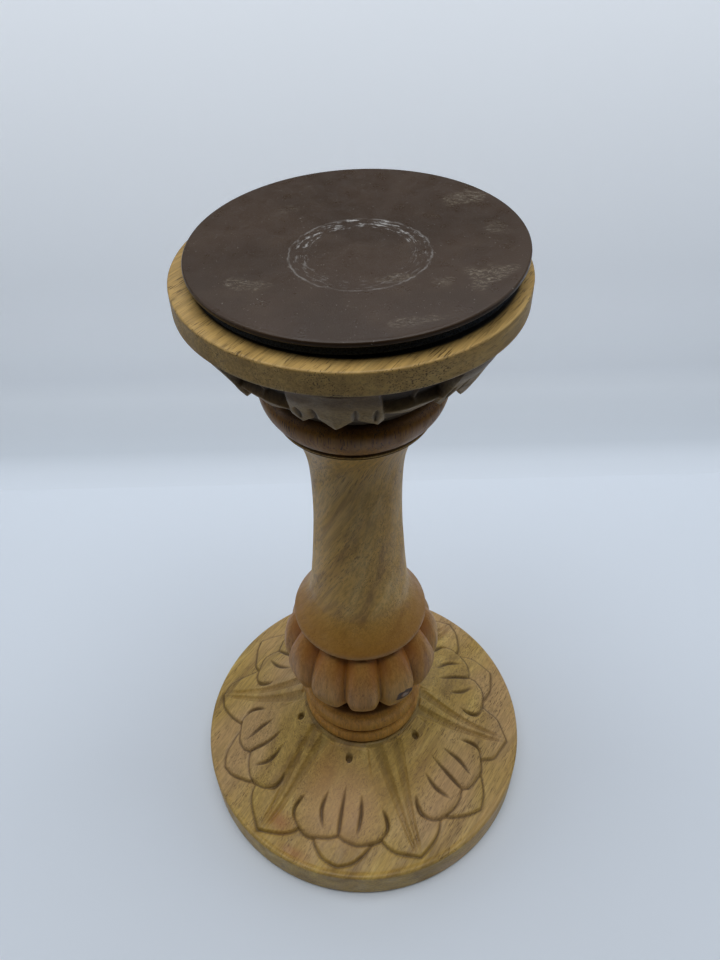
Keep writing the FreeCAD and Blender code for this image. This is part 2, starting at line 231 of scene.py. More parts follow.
def mangoWood(name, colors, grain, seed, poreStrength=1.0, streaks=0.0, knot=None, cutShade=0.75,
              roughness=0.5):
    # Mango wood, turned or carved, sanded and waxed: honey bands, long dark open pores and a
    # low sheen. The cuts, grooves and seams get painted shade. grain is the direction of the fibres as
    # turns about X, Y and Z in degrees, from +X
    material, tree, shader = newMaterial(name, roughness, Specular_IOR_Level=0.36, Coat_Weight=0.04,
                                         Coat_Roughness=0.35)
    spot = addNode(tree, "ShaderNodeTexCoord").outputs["Object"]
    # Each piece is cut from another place in the log
    inMm = addNode(tree, "ShaderNodeMapping", links={"Vector": spot}, Scale=[1000.0] * 3,
                   Rotation=[math.radians(a) for a in grain],
                   Location=[seed * 37.0, seed * 11.0, seed * 5.0])
    inMm = inMm.outputs["Vector"]

    def stretched(feature, detail, distortion=0.0, rough=0.55):
        length, width = woodGrain[feature]
        squeezed = addNode(tree, "ShaderNodeMapping", links={"Vector": inMm},
                           Scale=[1 / length, 1 / width, 1 / width])
        return addNode(tree, "ShaderNodeTexNoise", links={"Vector": squeezed.outputs["Vector"]},
                       Scale=1.0, Detail=detail, Distortion=distortion, Roughness=rough).outputs["Fac"]

    figure = stretched("figure", 3.0, 0.6)
    bands = [(0.28, colors["dark"]), (0.5, colors["middle"]), (0.72, colors["light"])]
    color = ramp(tree, figure, bands)
    cloud = stretched("cloud", 2.0)
    cloudMask = ramp(tree, cloud, [(0.45, 0.0), (0.68, 0.75)])
    color = tint(tree, color, linear(colors["cloud"]), cloudMask)
    fibre = stretched("fibre", 2.0)
    fibreMask = ramp(tree, fibre, [(0.35, 0.82), (0.65, 1.08)])
    color = tint(tree, color, fibreMask, 1.0, "MULTIPLY")

    pores = stretched("pore", 1.0, 0.0, 0.4)
    crowd = ramp(tree, stretched("poreCrowd", 2.0), [(0.35, 0.25), (0.65, 1.0)])
    poreMask = ramp(tree, pores, [(0.575, 0.0), (0.64, 1.0)])
    poreMask = tint(tree, poreMask, crowd, 1.0, "MULTIPLY")
    poreShare = addNode(tree, "ShaderNodeMath", {"operation": "MULTIPLY"}, {0: poreMask})
    poreShare.inputs[1].default_value = 0.85 * poreStrength
    color = tint(tree, color, linear(colors["pore"]), poreShare.outputs[0])

    if streaks:
        streak = stretched("streak", 4.0, 1.2)
        region = stretched("streakRegion", 1.0)
        mask = tint(tree, ramp(tree, streak, [(0.52, 0.0), (0.66, 1.0)]),
                    ramp(tree, region, [(0.45, 0.0), (0.6, 1.0)]), 1.0, "MULTIPLY")
        share = addNode(tree, "ShaderNodeMath", {"operation": "MULTIPLY"}, {0: mask})
        share.inputs[1].default_value = streaks
        color = tint(tree, color, linear(colors["streak"]), share.outputs[0])

    if knot:
        # A small dead knot: a dark ring round a pale heart
        away = addNode(tree, "ShaderNodeVectorMath", {"operation": "SUBTRACT"}, {0: spot})
        away.inputs[1].default_value = [v * mm for v in knot["center"]]
        oval = addNode(tree, "ShaderNodeMapping", links={"Vector": away.outputs[0]},
                       Rotation=[0.0, 0.0, math.radians(knot["turn"])],
                       Scale=[1000 / v for v in knot["size"]])
        wobble = addNode(tree, "ShaderNodeTexNoise", links={"Vector": inMm}, Scale=0.5, Detail=2.0)
        length = addNode(tree, "ShaderNodeVectorMath", {"operation": "LENGTH"}, {0: oval.outputs[0]})
        distance = addNode(tree, "ShaderNodeMath", {"operation": "MULTIPLY_ADD"},
                           {0: wobble.outputs["Fac"], 2: length.outputs["Value"]})
        distance.inputs[1].default_value = 0.5
        ring = ramp(tree, distance.outputs[0], [(0.55, 0.2), (0.66, 1.0), (0.85, 0.9), (1.0, 0.0)])
        halo = ramp(tree, distance.outputs[0], [(0.85, 0.85), (1.35, 0.0)])
        heart = ramp(tree, distance.outputs[0], [(0.42, 1.0), (0.58, 0.0)])
        color = tint(tree, color, linear(knot["halo"]), halo)
        color = tint(tree, color, linear(knot["ring"]), ring)
        color = tint(tree, color, linear(knot["heart"]), heart)

    # Masks that the meshes carry: pale patches of painted light, painted shade in the cuts, and real stains
    # together with painted shade under other parts
    for layer, strength in (("pale", 1.0), ("cut", cutShade), ("stainAndShade", 1.0)):
        if layer in colors:
            mask = addNode(tree, "ShaderNodeAttribute", {"attribute_name": layer}).outputs["Fac"]
            weight = addNode(tree, "ShaderNodeMath", {"operation": "MULTIPLY"}, {0: mask})
            weight.inputs[1].default_value = strength
            color = tint(tree, color, linear(colors[layer]), weight.outputs[0])
    tree.links.new(color, shader.inputs["Base Color"])

    gloss = ramp(tree, stretched("gloss", 2.0), [(0.3, roughness - 0.07), (0.7, roughness + 0.1)])
    tree.links.new(gloss, shader.inputs["Roughness"])
    dents = addNode(tree, "ShaderNodeMath", {"operation": "MULTIPLY_ADD"},
                    {0: fibre, 2: poreShare.outputs[0]})
    dents.inputs[1].default_value = -0.25
    bump = addNode(tree, "ShaderNodeBump", {"invert": True}, {"Height": dents.outputs[0]},
                   Strength=0.5, Distance=0.00018)
    tree.links.new(bump.outputs["Normal"], shader.inputs["Normal"])
    return material


# In every palette cut is painted shade in cuts, grooves and seams. On the base pale is painted light on the
# front petals; on the bulb, bell and platter the last colour is painted shade, and on the platter it is the
# black painted shadow under the foam pad
baseColors = {"dark": "#917237", "middle": "#B08F46", "light": "#C3A458", "cloud": "#B89464",
              "pore": "#4A3216", "pale": "#D2A47C", "cut": "#33200E", "stainAndShade": "#9A5026"}
ringColors = {"dark": "#A06A1E", "middle": "#BE8634", "light": "#CC9842", "cloud": "#BC8434",
              "pore": "#5A3814", "cut": "#2A1606"}
bulbColors = {"dark": "#96662A", "middle": "#B6873F", "light": "#CA9E56", "cloud": "#B47F42",
              "pore": "#5C3816", "cut": "#38200C", "stainAndShade": "#A4621C"}
shaftColors = {"dark": "#AE8342", "middle": "#CEA150", "light": "#DBB368", "cloud": "#C4943E",
               "pore": "#563E20", "streak": "#74562C", "cut": "#2A1C0E", "stainAndShade": "#9C6622"}
collarColors = {"dark": "#80521A", "middle": "#A06C22", "light": "#B07E30", "cloud": "#966220",
                "pore": "#2E1E0C", "cut": "#1A0E04"}
platterColors = {"dark": "#A5844A", "middle": "#BB9757", "light": "#CBA968", "cloud": "#B39152",
                 "pore": "#54401F", "stainAndShade": "#0B0A0A"}
bellColors = {"dark": "#80653A", "middle": "#9A7E50", "light": "#B69C70", "cloud": "#8A6A3C",
              "pore": "#3A2814", "cut": "#241206", "stainAndShade": "#3C1E0E"}
# A small dead knot on a lobe of the bulb, centre and size in mm
bulbKnot = {"center": (16.5, -26.5, 82.0), "turn": 0.0, "size": (5.5, 5.5, 4.2),
            "halo": "#8A5638", "ring": "#2C1C16", "heart": "#93857A"}
# Fibres lie flat across the discs and stand upright in the turned pieces
acrossGrain, uprightGrain, shaftGrain = (0, 0, -55), (0, 90, 0), (0, 68, 12)

baseWood = mangoWood("waxed carved mango wood, base", baseColors, acrossGrain, seed=1, poreStrength=0.8)
ringWood = mangoWood("waxed turned mango wood, rings", ringColors, uprightGrain, seed=2, poreStrength=0.5)
bulbWood = mangoWood("waxed carved mango wood, bulb", bulbColors, uprightGrain, seed=3, poreStrength=0.5,
                     knot=bulbKnot)
shaftWood = mangoWood("waxed turned mango wood, shaft", shaftColors, shaftGrain, seed=4, poreStrength=0.6,
                      streaks=0.22)
collarWood = mangoWood("waxed turned mango wood, collar", collarColors, uprightGrain, seed=5)
bellWood = mangoWood("waxed carved mango wood, bell", bellColors, acrossGrain, seed=6, poreStrength=0.5,
                     cutShade=0.95, roughness=0.62)
platterWood = mangoWood("waxed turned mango wood, platter", platterColors, acrossGrain, seed=7)
print("wood materials made")


lotus = {
    "petalRise": 1.75,    # mm from the ground to the top of a petal's edge
    "leafRise": 0.85,
    "rootRise": 1.75,     # where the leaves run into the petals near the ring
    "edgeWidth": 0.45,
    "edgeCut": 0.6,
    "veinDepth": 1.3,
    "veinWidth": 2.1,
    "furrowDepth": 2.1,
    "dotRadius": 1.5,
    "dotCircle": 29.5,
    "dotDepth": 2.6,
}


def lotusRelief(x, y, seed):
    # Height in mm over the ground, and the painted shade in the cuts, at each point. x and y run over a
    # flat lotus of six petals with pointed leaves between and beneath, roots at radius 25, tips at 67
    rng = np.random.default_rng(seed)
    angle = np.degrees(np.arctan2(y, x))
    radius = np.hypot(x, y)
    height = np.zeros(x.shape)
    dark = np.zeros(x.shape)
    petals = []
    for i in range(6):
        for kind in ("leaf", "under", "petal"):
            turn = petalAngle + petalStep * (i + (0.5 if kind == "leaf" else 0)) + rng.uniform(-1.2, 1.2)
            petals.append((kind, turn, rng.uniform(-1, 1, (9, 2)) * 0.55, rng.uniform(0.975, 1.02),
                           rng.uniform(-1, 1)))
    order = {"under": 0, "leaf": 1, "petal": 2}
    for kind, turn, shake, grow, bend in sorted(petals, key=lambda p: order[p[0]]):
        off = (angle - turn + 180) % 360 - 180
        near = np.abs(off) < 38
        u = radius[near] * np.cos(np.radians(off[near])) / grow
        v = radius[near] * np.sin(np.radians(off[near])) / grow
        h, d = height[near], dark[near]
        if kind == "under":
            h, d = pointedLeaf(u, v, h, d, shake, bend, ribbed=False)
        elif kind == "leaf":
            h, d = pointedLeaf(u, v, h, d, shake, bend, ribbed=True)
        else:
            h, d = scallopedPetal(u, v, h, d, shake, bend)
        height[near], dark[near] = h, d
    return height, dark


def leafOutline(shake):
    half = [(26.0, 7.0), (44.0, 11.5), (52.0, 13.6), (57.2, 12.8), (61.5, 9.6), (64.8, 5.4)]
    half = [(a + s[0], b + s[1] * 0.8) for (a, b), s in zip(half, shake)]
    left = smoothCurve(half + [(67.2, 0.0)], 5)
    right = smoothCurve([(67.2, 0.0)] + [(a, -b + s[1]) for (a, b), s in zip(half[::-1], shake)], 5)
    return np.vstack([left, right[1:]])


def pointedLeaf(u, v, h, d, shake, bend, ribbed):
    # u runs from the lotus's middle to the tip, v across. A ribbed leaf has a furrow on each
    # side of its rib
    away = insideDistance(u, v, leafOutline(shake))
    rise = mix(lotus["rootRise"], lotus["leafRise"], smoothStep(u, 36, 52))
    crown = 0.35 * (1 - np.exp(-np.clip(away, 0, None) / 3.0))
    top = (rise + crown) * smoothStep(away, -0.1, lotus["edgeWidth"])
    if ribbed:
        toTip = np.clip((u - 25) / 41, 0, 1)
        center = bend * 2.4 * (1 - toTip) ** 2 + bend * 0.8 * np.sin(toTip * 5)
        ribHalf = mix(2.5, 0.35, toTip ** 0.7)
        furrowHalf = mix(2.4, 0.55, toTip ** 0.8)
        depth = lotus["furrowDepth"] * mix(1.15, 0.45, toTip) * smoothStep(u, 66.5, 61)
        for side, reach in ((-1, 1.0), (1, 0.9)):
            offset = (v - center) * side - ribHalf - furrowHalf
            channel = np.clip(1 - (offset / (furrowHalf * 1.25)) ** 2, 0, 1) ** 0.8
            top = top - depth * reach * channel * (away > -0.5)
            # Painted shade in the furrows
            d = np.maximum(d, 0.45 * channel ** 2 * (away > 0) * mix(1.0, 0.5, toTip))
        ridge = np.exp(-((v - center) / (ribHalf * 0.8)) ** 2)
        top = top + 0.25 * ridge * mix(1.0, 0.5, toTip)
    # Painted shade along the groove round the leaf's edge
    groove = np.exp(-((away + 0.25) / 0.42) ** 2)
    covers = away > -0.3
    h = np.where(covers, np.maximum(top, h * (away < 0.1)), h) - lotus["edgeCut"] * groove * (u > 50)
    d = np.maximum(d * (away < 0.4), 0) if not ribbed else d
    return h, np.maximum(d, 0.95 * groove * (u > 47))


def scallopedPetal(u, v, h, d, shake, bend):
    # Two rounded scallops that meet in a notch
    half = [(25.0, 6.6), (34.0, 11.2), (41.0, 15.0), (45.6, 17.9), (50.0, 19.3), (54.0, 17.3),
            (57.0, 12.4), (57.9, 7.4), (57.0, 2.8)]
    halves = []
    for side in (1, -1):
        jitter = shake if side > 0 else shake[::-1]
        halves.append([(a + s[0], (b + s[1] * 0.7) * side) for (a, b), s in zip(half, jitter)])
    notch = (55.2 + bend * 0.5, bend * 0.5)
    outline = np.vstack([smoothCurve(halves[0], 6), [notch], smoothCurve(halves[1][::-1], 6)])
    away = insideDistance(u, v, outline)
    lobe = np.exp(-((u - 52) / 9) ** 2) * np.cos(np.clip(np.abs(v) - 9, -9, 9) / 9 * math.pi / 2)
    rise = lotus["petalRise"] + 0.45 * (1 - np.exp(-np.clip(away, 0, None) / 1.6)) + 0.3 * lobe - 0.3
    edge = smoothStep(away, -0.15, lotus["edgeWidth"])
    soft = smoothStep(away, -2.5, 1.5)
    crisp = smoothStep(u, 40, 47)
    raised = mix(rise * soft, rise * edge, crisp)
    h = np.where(away > -2.5, mix(h, np.maximum(h, raised), mix(soft, edge, crisp)), h)
    # Painted shade along the groove under the petal's edge, in the gouges and in the drilled dots
    groove = np.exp(-((away + 0.2) / 0.4) ** 2) * smoothStep(u, 43.5, 46.5)
    h = h - lotus["edgeCut"] * groove
    d = d * smoothStep(-away, -0.2, 1.0)
    d = np.maximum(d, 0.95 * groove)
    hooks = [[(43.2, 16.4 * side), (45.6, 18.6 * side), (49.0, 19.9 * side), (52.5, 19.0 * side)]
             for side in (1, -1)]
    veins = [[(38.8, 0.6 * bend), (46.5, 0.2), (53.0, 0.4 * bend), (56.5, 0.5 * bend)],
             [(40.6, 6.6 + bend), (47.5, 8.4), (54.8, 7.6 + shake[2][0])],
             [(41.2, -7.4 + bend), (47.5, -8.2), (54.4, -6.6 + shake[5][1])]]
    for points in veins + hooks:
        stroke = cutStroke(u, v, points, lotus["veinWidth"], lotus["veinDepth"])
        h = h - stroke
        d = np.maximum(d, np.clip(stroke / lotus["veinDepth"] * 1.4, 0, 1))
    reach = np.hypot(u - lotus["dotCircle"], v)
    hole = smoothStep(-reach, -lotus["dotRadius"] - 0.15, -lotus["dotRadius"] + 0.35)
    h = h - lotus["dotDepth"] * hole
    return h, np.maximum(d, hole)


def roundRows(profile, columns):
    profile = np.array(profile, float)
    return (np.repeat(profile[:, :1], columns, axis=1), np.repeat(profile[:, 1:], columns, axis=1))


def boredPiece(name, radius, height, material, node, masks):
    # A turned solid with the tie rod's bore through it: the last row joins the first. masks are
    # the shares of dark cuts and of other colours at each point
    vertices, faces, index = roundGrid(radius, height)
    last, first = index[-1], index[0]
    loop = np.stack([last, np.roll(last, -1), np.roll(first, -1), first], axis=-1)
    attributes = {key: values.reshape(-1) for key, values in masks.items()}
    return makePiece(name, vertices, faces + loop.tolist(), material, "root", [node], attributes)


boreRadius = 4.5  # mm, room for the tie rod

baseSize = {"columns": 768, "rows": 102, "rimRound": 1.3, "seatRadius": 25.2, "rimHeight": 16.5,
            "underside": 0.5, "felt": 62.1, "feltRecess": 1.5, "pocket": 12.0, "pocketTop": 13.5,
            "shoulder": 0.47}
# Patches of other wood (red), and patches of painted light on the front petals (pale): direction in
# degrees, radius, half length, half width in mm, strength
redPatches = [(-127.0, 60.5, 5.0, 3.5, 0.55), (-117.0, 67.5, 6.0, 2.0, 0.45),
              (-118.0, 37.0, 5.0, 9.0, 0.2)]
paleLitPatches = [(-100.0, 46.0, 17.0, 15.0, 0.55), (-52.0, 47.0, 13.0, 12.0, 0.25)]


def woodPatches(x, y, patches):
    # How strongly each point is in one of the patches
    share = np.zeros(x.shape)
    for turn, reach, long, wide, strength in patches:
        east, north = math.cos(math.radians(turn)), math.sin(math.radians(turn))
        along = ((y - reach * north) * east - (x - reach * east) * north) / long
        across = ((x - reach * east) * east + (y - reach * north) * north) / wide
        share = np.maximum(share, strength * np.exp(-along ** 2 - across ** 2))
    return share


def domeHeight(radius, rim, top):
    # The base rises from a low shoulder at its rim to the seat of the rings
    share = np.clip((radius - baseSize["seatRadius"]) / (rim - baseSize["seatRadius"]), 0, 1)
    fall = (1 - share) ** 2 * (1 - baseSize["shoulder"]) + baseSize["shoulder"] * (1 - share)
    return baseSize["rimHeight"] + (top - baseSize["rimHeight"]) * fall ** 1.25


def makeBase():
    size = baseSize
    outer = halfWidthOf("carved_base")
    top = topOf("carved_base")
    rim = outer - size["rimRound"]
    under = size["underside"]
    below = [(boreRadius, size["pocketTop"]), (size["pocket"], size["pocketTop"]),
             (size["pocket"], size["feltRecess"]), (size["felt"], size["feltRecess"]),
             (size["felt"], under), (outer - 1.2, under), (outer - 0.35, under + 0.3),
             (outer, under + 1.2)]
    side = [(outer, z) for z in np.linspace(under + 2.5, size["rimHeight"] - size["rimRound"], 6)]
    corner = [(rim + size["rimRound"] * math.cos(a),
               size["rimHeight"] - size["rimRound"] * (1 - math.sin(a)))
              for a in np.radians([18, 36, 54, 72])]
    rings = np.linspace(rim, size["seatRadius"] - 0.6, size["rows"])
    dome = [(r, float(domeHeight(r, rim, top))) for r in rings]
    radius, height = roundRows(below + side + corner + dome + [(boreRadius, top)], size["columns"])
    angle = anglesRound(size["columns"])
    x, y = radius * np.cos(angle), radius * np.sin(angle)
    start = len(below) + len(side) + len(corner)
    carve = slice(start, start + size["rows"])
    relief, dark = lotusRelief(x[carve], y[carve], seed=4)
    fade = smoothStep(radius[carve], size["seatRadius"] - 0.4, size["seatRadius"] + 1.5)
    hand = handWaves(x[carve], y[carve], seed=21, size=16.0, amount=0.07)
    lift = relief * fade - 0.5 * fade + hand * fade * smoothStep(-radius[carve], -rim, -rim + 3)
    height[carve] += lift * smoothStep(-radius[carve], -rim + 0.1, -rim + 1.6)
    worn = handWaves(np.cos(angle) * outer, np.sin(angle) * outer, seed=8, size=40.0, amount=0.06)
    edge = slice(start - len(corner), start + 3)
    height[edge] += worn
    # Painted shade in the carving's cuts, grooves and drilled dots, and under the lower ring at the seat
    cutMask = np.zeros(radius.shape)
    cutMask[carve] = dark * fade
    cutMask[start + size["rows"] - 4:] = 0.5
    colorMasks = {"cut": cutMask, "stainAndShade": woodPatches(x, y, redPatches),
                  "pale": woodPatches(x, y, paleLitPatches)}
    boredPiece("carvedBase", radius, height, baseWood, "carved_base", colorMasks)


makeBase()


ring = {"columns": 256, "rows": 24, "fullness": 0.8, "lowerSeat": 22.8, "upperSeat": 21.7}


def bead(low, high, seat, crest):
    # Half-round moulding from its lower seat to its upper one
    out = []
    for t in np.linspace(0, math.pi, ring["rows"]):
        reach = seat + (crest - seat) * math.sin(t) ** ring["fullness"]
        out.append((reach, (low + high) / 2 - (high - low) / 2 * math.cos(t)))
    return out


def makeRing(name, node, seat):
    low, high = bottomOf(node), topOf(node)
    moulding = bead(low + 0.15, high - 0.15, seat, halfWidthOf(node))
    radius, height = roundRows([(boreRadius, low)] + moulding + [(boreRadius, high)], ring["columns"])
    # Painted shade in the seams above and below
    dark = np.zeros(radius.shape)
    dark[1:3] = 0.9
    dark[3] = 0.4
    dark[-3:-1] = 0.9
    dark[-4] = 0.4
    angle = anglesRound(ring["columns"])
    radius[1:-1] += handWaves(radius[1:-1] * np.cos(angle), height[1:-1] * 2, seed=5, size=30.0,
                              amount=0.05)
    boredPiece(name, radius, height, ringWood, node, {"cut": dark})


makeRing("lowerRing", "lower_ring", ring["lowerSeat"])
makeRing("upperRing", "upper_ring", ring["upperSeat"])


bulb = {"columns": 480, "rows": 96, "lobes": 12, "frontLobe": -90.0, "groove": 3.3}


def makeBulb():
    low, high = bottomOf("gadroon_bulb"), topOf("gadroon_bulb")
    crest = halfWidthOf("gadroon_bulb") - 0.25
    outline = [(0.0, 20.5), (0.1, 23.2), (0.2, 26.2), (0.35, 29.8), (0.53, crest), (0.72, 30.0),
               (0.88, 27.0), (1.0, 23.0)]
    shares, radii = zip(*outline)
    curve = smoothCurve([(r, s) for r, s in zip(radii, shares)], 40)
    share = np.linspace(0, 1, bulb["rows"])
    radius = np.interp(share, curve[:, 1], curve[:, 0])
    angle = anglesRound(bulb["columns"])
    rng = np.random.default_rng(9)
    wander = np.interp(angle, np.linspace(0, 2 * np.pi, 13), rng.uniform(-1.6, 1.6, 13), period=2 * np.pi)
    step = 360 / bulb["lobes"]
    phase = np.abs((np.degrees(angle) - bulb["frontLobe"] + wander + step / 2) % step / step * 2 - 1)
    deep = np.interp(share, [0, 0.1, 0.3, 0.5, 0.75, 0.9, 1], [1.0, 1.2, 1.15, 1.0, 1.05, 1.0, 0.6])
    wide = np.interp(share, [0, 0.12, 0.35, 0.6, 0.8, 1], [0.8, 0.65, 0.45, 0.42, 0.6, 0.75])
    valley = np.clip(1 - (1 - phase[None, :]) / wide[:, None], 0, 1) ** 1.5
    grid = radius[:, None] - bulb["groove"] * deep[:, None] * valley - 0.7 * phase[None, :] ** 2
    # The upper ends of the lobes are pared to a shallow ridge
    ridge = smoothStep(share, 0.62, 0.95)[:, None] * (1 - np.clip(phase[None, :] * 2.2, 0, 1))
    grid += 0.7 * ridge
    height = np.repeat((low + 0.1 + (high - low - 0.2) * share)[:, None], bulb["columns"], axis=1)
    grid += handWaves(grid * np.cos(angle), height, seed=3, size=14.0, amount=0.1)
    # Painted shade in the grooves between the lobes and at the seams above and below
    dark = 0.7 * np.clip((phase[None, :] - 0.9) / 0.1, 0, 1) ** 1.5 * np.ones_like(grid)
    dark = np.maximum(dark, smoothStep(share, 0.96, 1.0)[:, None] * 0.8)
    dark = np.maximum(dark, smoothStep(-share, -0.06, 0.0)[:, None] * 0.9)
    # Painted shade on the upper lobes under the shaft's foot, least at each lobe's middle
    stainAndShade = smoothStep(share, 0.6, 0.95)[:, None] * (0.25 + 0.6 * smoothStep(phase, 0.15, 0.75)[None, :])
    rim = np.full((1, bulb["columns"]), boreRadius)
    grid = np.vstack([rim, grid, rim])
    height = np.vstack([rim * 0 + low, height, rim * 0 + high])
    dark, stainAndShade = [np.vstack([rim * 0, values, rim * 0]) for values in (dark, stainAndShade)]
    boredPiece("gadroonBulb", grid, height, bulbWood, "gadroon_bulb",
               {"cut": dark, "stainAndShade": stainAndShade})


makeBulb()


shaft = {"columns": 256, "foot": 23.8, "neck": 15.3, "head": 24.6, "lip": 1.6}


def makeShaft():
    low, high = bottomOf("turned_shaft"), topOf("turned_shaft")
    bulge = halfWidthOf("turned_shaft")
    foot, neck, head = shaft["foot"], shaft["neck"], shaft["head"]
    spread, flare = bulge - neck, head - neck
    outline = [(foot, 0.0), (bulge, 0.035), (neck + spread * 0.77, 0.08), (neck + spread * 0.44, 0.14),
               (neck + spread * 0.28, 0.20), (neck + spread * 0.12, 0.36), (neck, 0.56),
               (neck + flare * 0.02, 0.76), (neck + flare * 0.22, 0.87), (neck + flare * 0.62, 0.95),
               (head - 0.5, 0.982)]
    curve = smoothCurve(outline, 14)
    profile = [(boreRadius, low)] + [(r, low + (high - low) * s) for r, s in curve]
    lip = high - shaft["lip"]
    profile += [(head - 1.1, lip), (head - 1.1, lip + 0.25), (head - 0.2, lip + 0.4), (head, lip + 0.8),
                (head - 0.2, high - 0.45), (head - 0.9, high - 0.3), (head - 0.9, high), (boreRadius, high)]
    radius, height = roundRows(profile, shaft["columns"])
    angle = anglesRound(shaft["columns"])
    body = slice(1, len(curve))
    radius[body] += handWaves(radius[body] * np.cos(angle), height[body] * 0.5, seed=6, size=40.0,
                              amount=0.09)
    # Painted shade at the seam with the bulb, in the groove under the lip and at the seam under the collar
    dark = np.zeros(radius.shape)
    dark[len(curve):len(curve) + 3] = 0.9
    dark[-4:-1] = 0.9
    dark[1:4] = np.array([0.8, 0.5, 0.2])[:, None]
    # Darker and more orange towards the foot
    stainAndShade = 0.75 * smoothStep(-(height - low), -(high - low) * 0.26, -3.0)
    boredPiece("turnedShaft", radius, height, shaftWood, "turned_shaft",
               {"cut": dark, "stainAndShade": stainAndShade})


makeShaft()


collar = {"columns": 256, "seamRows": 14}


def makeCollar():
    low, high = bottomOf("upper_collar"), topOf("upper_collar")
    crest = halfWidthOf("upper_collar")
    span = high - low
    outline = [(24.3, 0.02), (25.4, 0.10), (26.7, 0.24), (27.8, 0.42), (crest, 0.62), (28.2, 0.80),
               (27.0, 0.93), (25.2, 0.985)]
    curve = smoothCurve(outline, 6)
    profile = [(boreRadius, low)] + [(r, low + span * s) for r, s in curve] + [(boreRadius, high)]
    radius, height = roundRows(profile, collar["columns"])
    # Painted shade at the foot seam, growing slowly towards the seam under the bell, where the bell and
    # platter shade the collar
    seam = collar["seamRows"]
    dark = np.zeros(radius.shape)
    dark[1:3] = 0.8
    dark[-seam:] = (0.9 * smoothStep(np.arange(seam), 0, seam - 2))[:, None]
    boredPiece("upperCollar", radius, height, collarWood, "upper_collar", {"cut": dark})


makeCollar()


bell = {
    "columns": 768, "rows": 120, "foot": 25.5, "top": 45.8,
    "pocket": 12.5, "pocketDepth": 18.0,
    "blockAngle": -96.5,    # direction of the front petal
    "blockHalf": 11.6,      # mm; a scooped leaf fills the room between two petals
    "blockRise": 1.7, "rimRise": 1.3, "scoop": 1.5,
    "ground": -1.3,
}
# Lower edge of a petal: degrees from its middle, share of the bell's height
petalEdge = [(-22.0, 0.47), (-14.5, 0.31), (-8.0, 0.44), (-1.0, 0.28), (7.0, 0.45), (16.0, 0.3),
             (23.0, 0.5)]
# Gouge cuts on a petal: degrees from its middle, lower and upper end as shares of the height
petalCuts = [(-8.0, 0.42, 0.68), (7.0, 0.43, 0.7), (-14.0, 0.44, 0.64), (14.5, 0.44, 0.66)]
petalShifts = [0.0, 1.2, -0.9, 0.5, -1.3, 0.8]  # degrees that each petal is off its place


def bellRelief(degrees, share, radius):
    # Petals stand proud with a toothed lower edge. The pointed leaves between them are scooped
    # hollow, with a raised lip that runs to a point below
    off = (degrees - bell["blockAngle"] + 30) % 60 - 30
    number = np.floor((degrees - bell["blockAngle"] + 30) / 60).astype(int) % 6
    shift = np.array(petalShifts)[number]
    off = off + shift * (np.abs(off) < 24)
    spots, edges = zip(*petalEdge)
    side = np.degrees(np.arcsin(bell["blockHalf"] / radius))
    block = smoothStep(side - np.abs(off), -0.5, 0.5)
    lower = np.interp(off, spots, edges)
    body = smoothStep(share - lower, 0.0, 0.035)
    facet = 0.9 * (1 - np.abs(off - 1.5) / 19) - 0.5 * smoothStep(share, 0.5, 1.0)
    teeth = 6.5 * (0.4 - lower) * smoothStep(-share, -0.68, -0.36)
    petal = (bell["blockRise"] + facet + teeth) * body
    away = 30 - np.abs(off)
    tip = 0.33 + 0.011 * away
    lip = smoothStep(share - tip, 0.0, 0.04)
    hollow = smoothStep(share, 0.5, 0.56)
    vein = np.exp(-(away / 0.9) ** 2) * hollow
    leaf = bell["rimRise"] * lip - (bell["rimRise"] + bell["scoop"]) * hollow + 0.9 * vein
    relief = mix(leaf, petal, block)
    # Painted shade in the scooped hollows
    dark = (1 - block) * 0.92 * hollow * (1 - 0.4 * vein)
    # Painted shade in the gouges
    for place, start, end in petalCuts:
        along = np.clip((share - start) / (end - start), 0, 1)
        stroke = np.exp(-((off - place) / (0.9 * np.sin(np.pi * np.clip(along, 0.05, 0.95)) + 0.15)) ** 2)
        stroke = stroke * (share > start) * (share < end) * block
        relief = relief - 0.9 * stroke
        dark = np.maximum(dark, 0.8 * stroke)
    # Painted shadow under the petals' toothed lower edges and under the leaves' lips
    dark = np.maximum(dark, 0.8 * smoothStep(lower - share, -0.02, 0.03) * block)
    dark = np.maximum(dark, 0.8 * smoothStep(tip - share, -0.02, 0.03) * (1 - block))
    return relief, dark


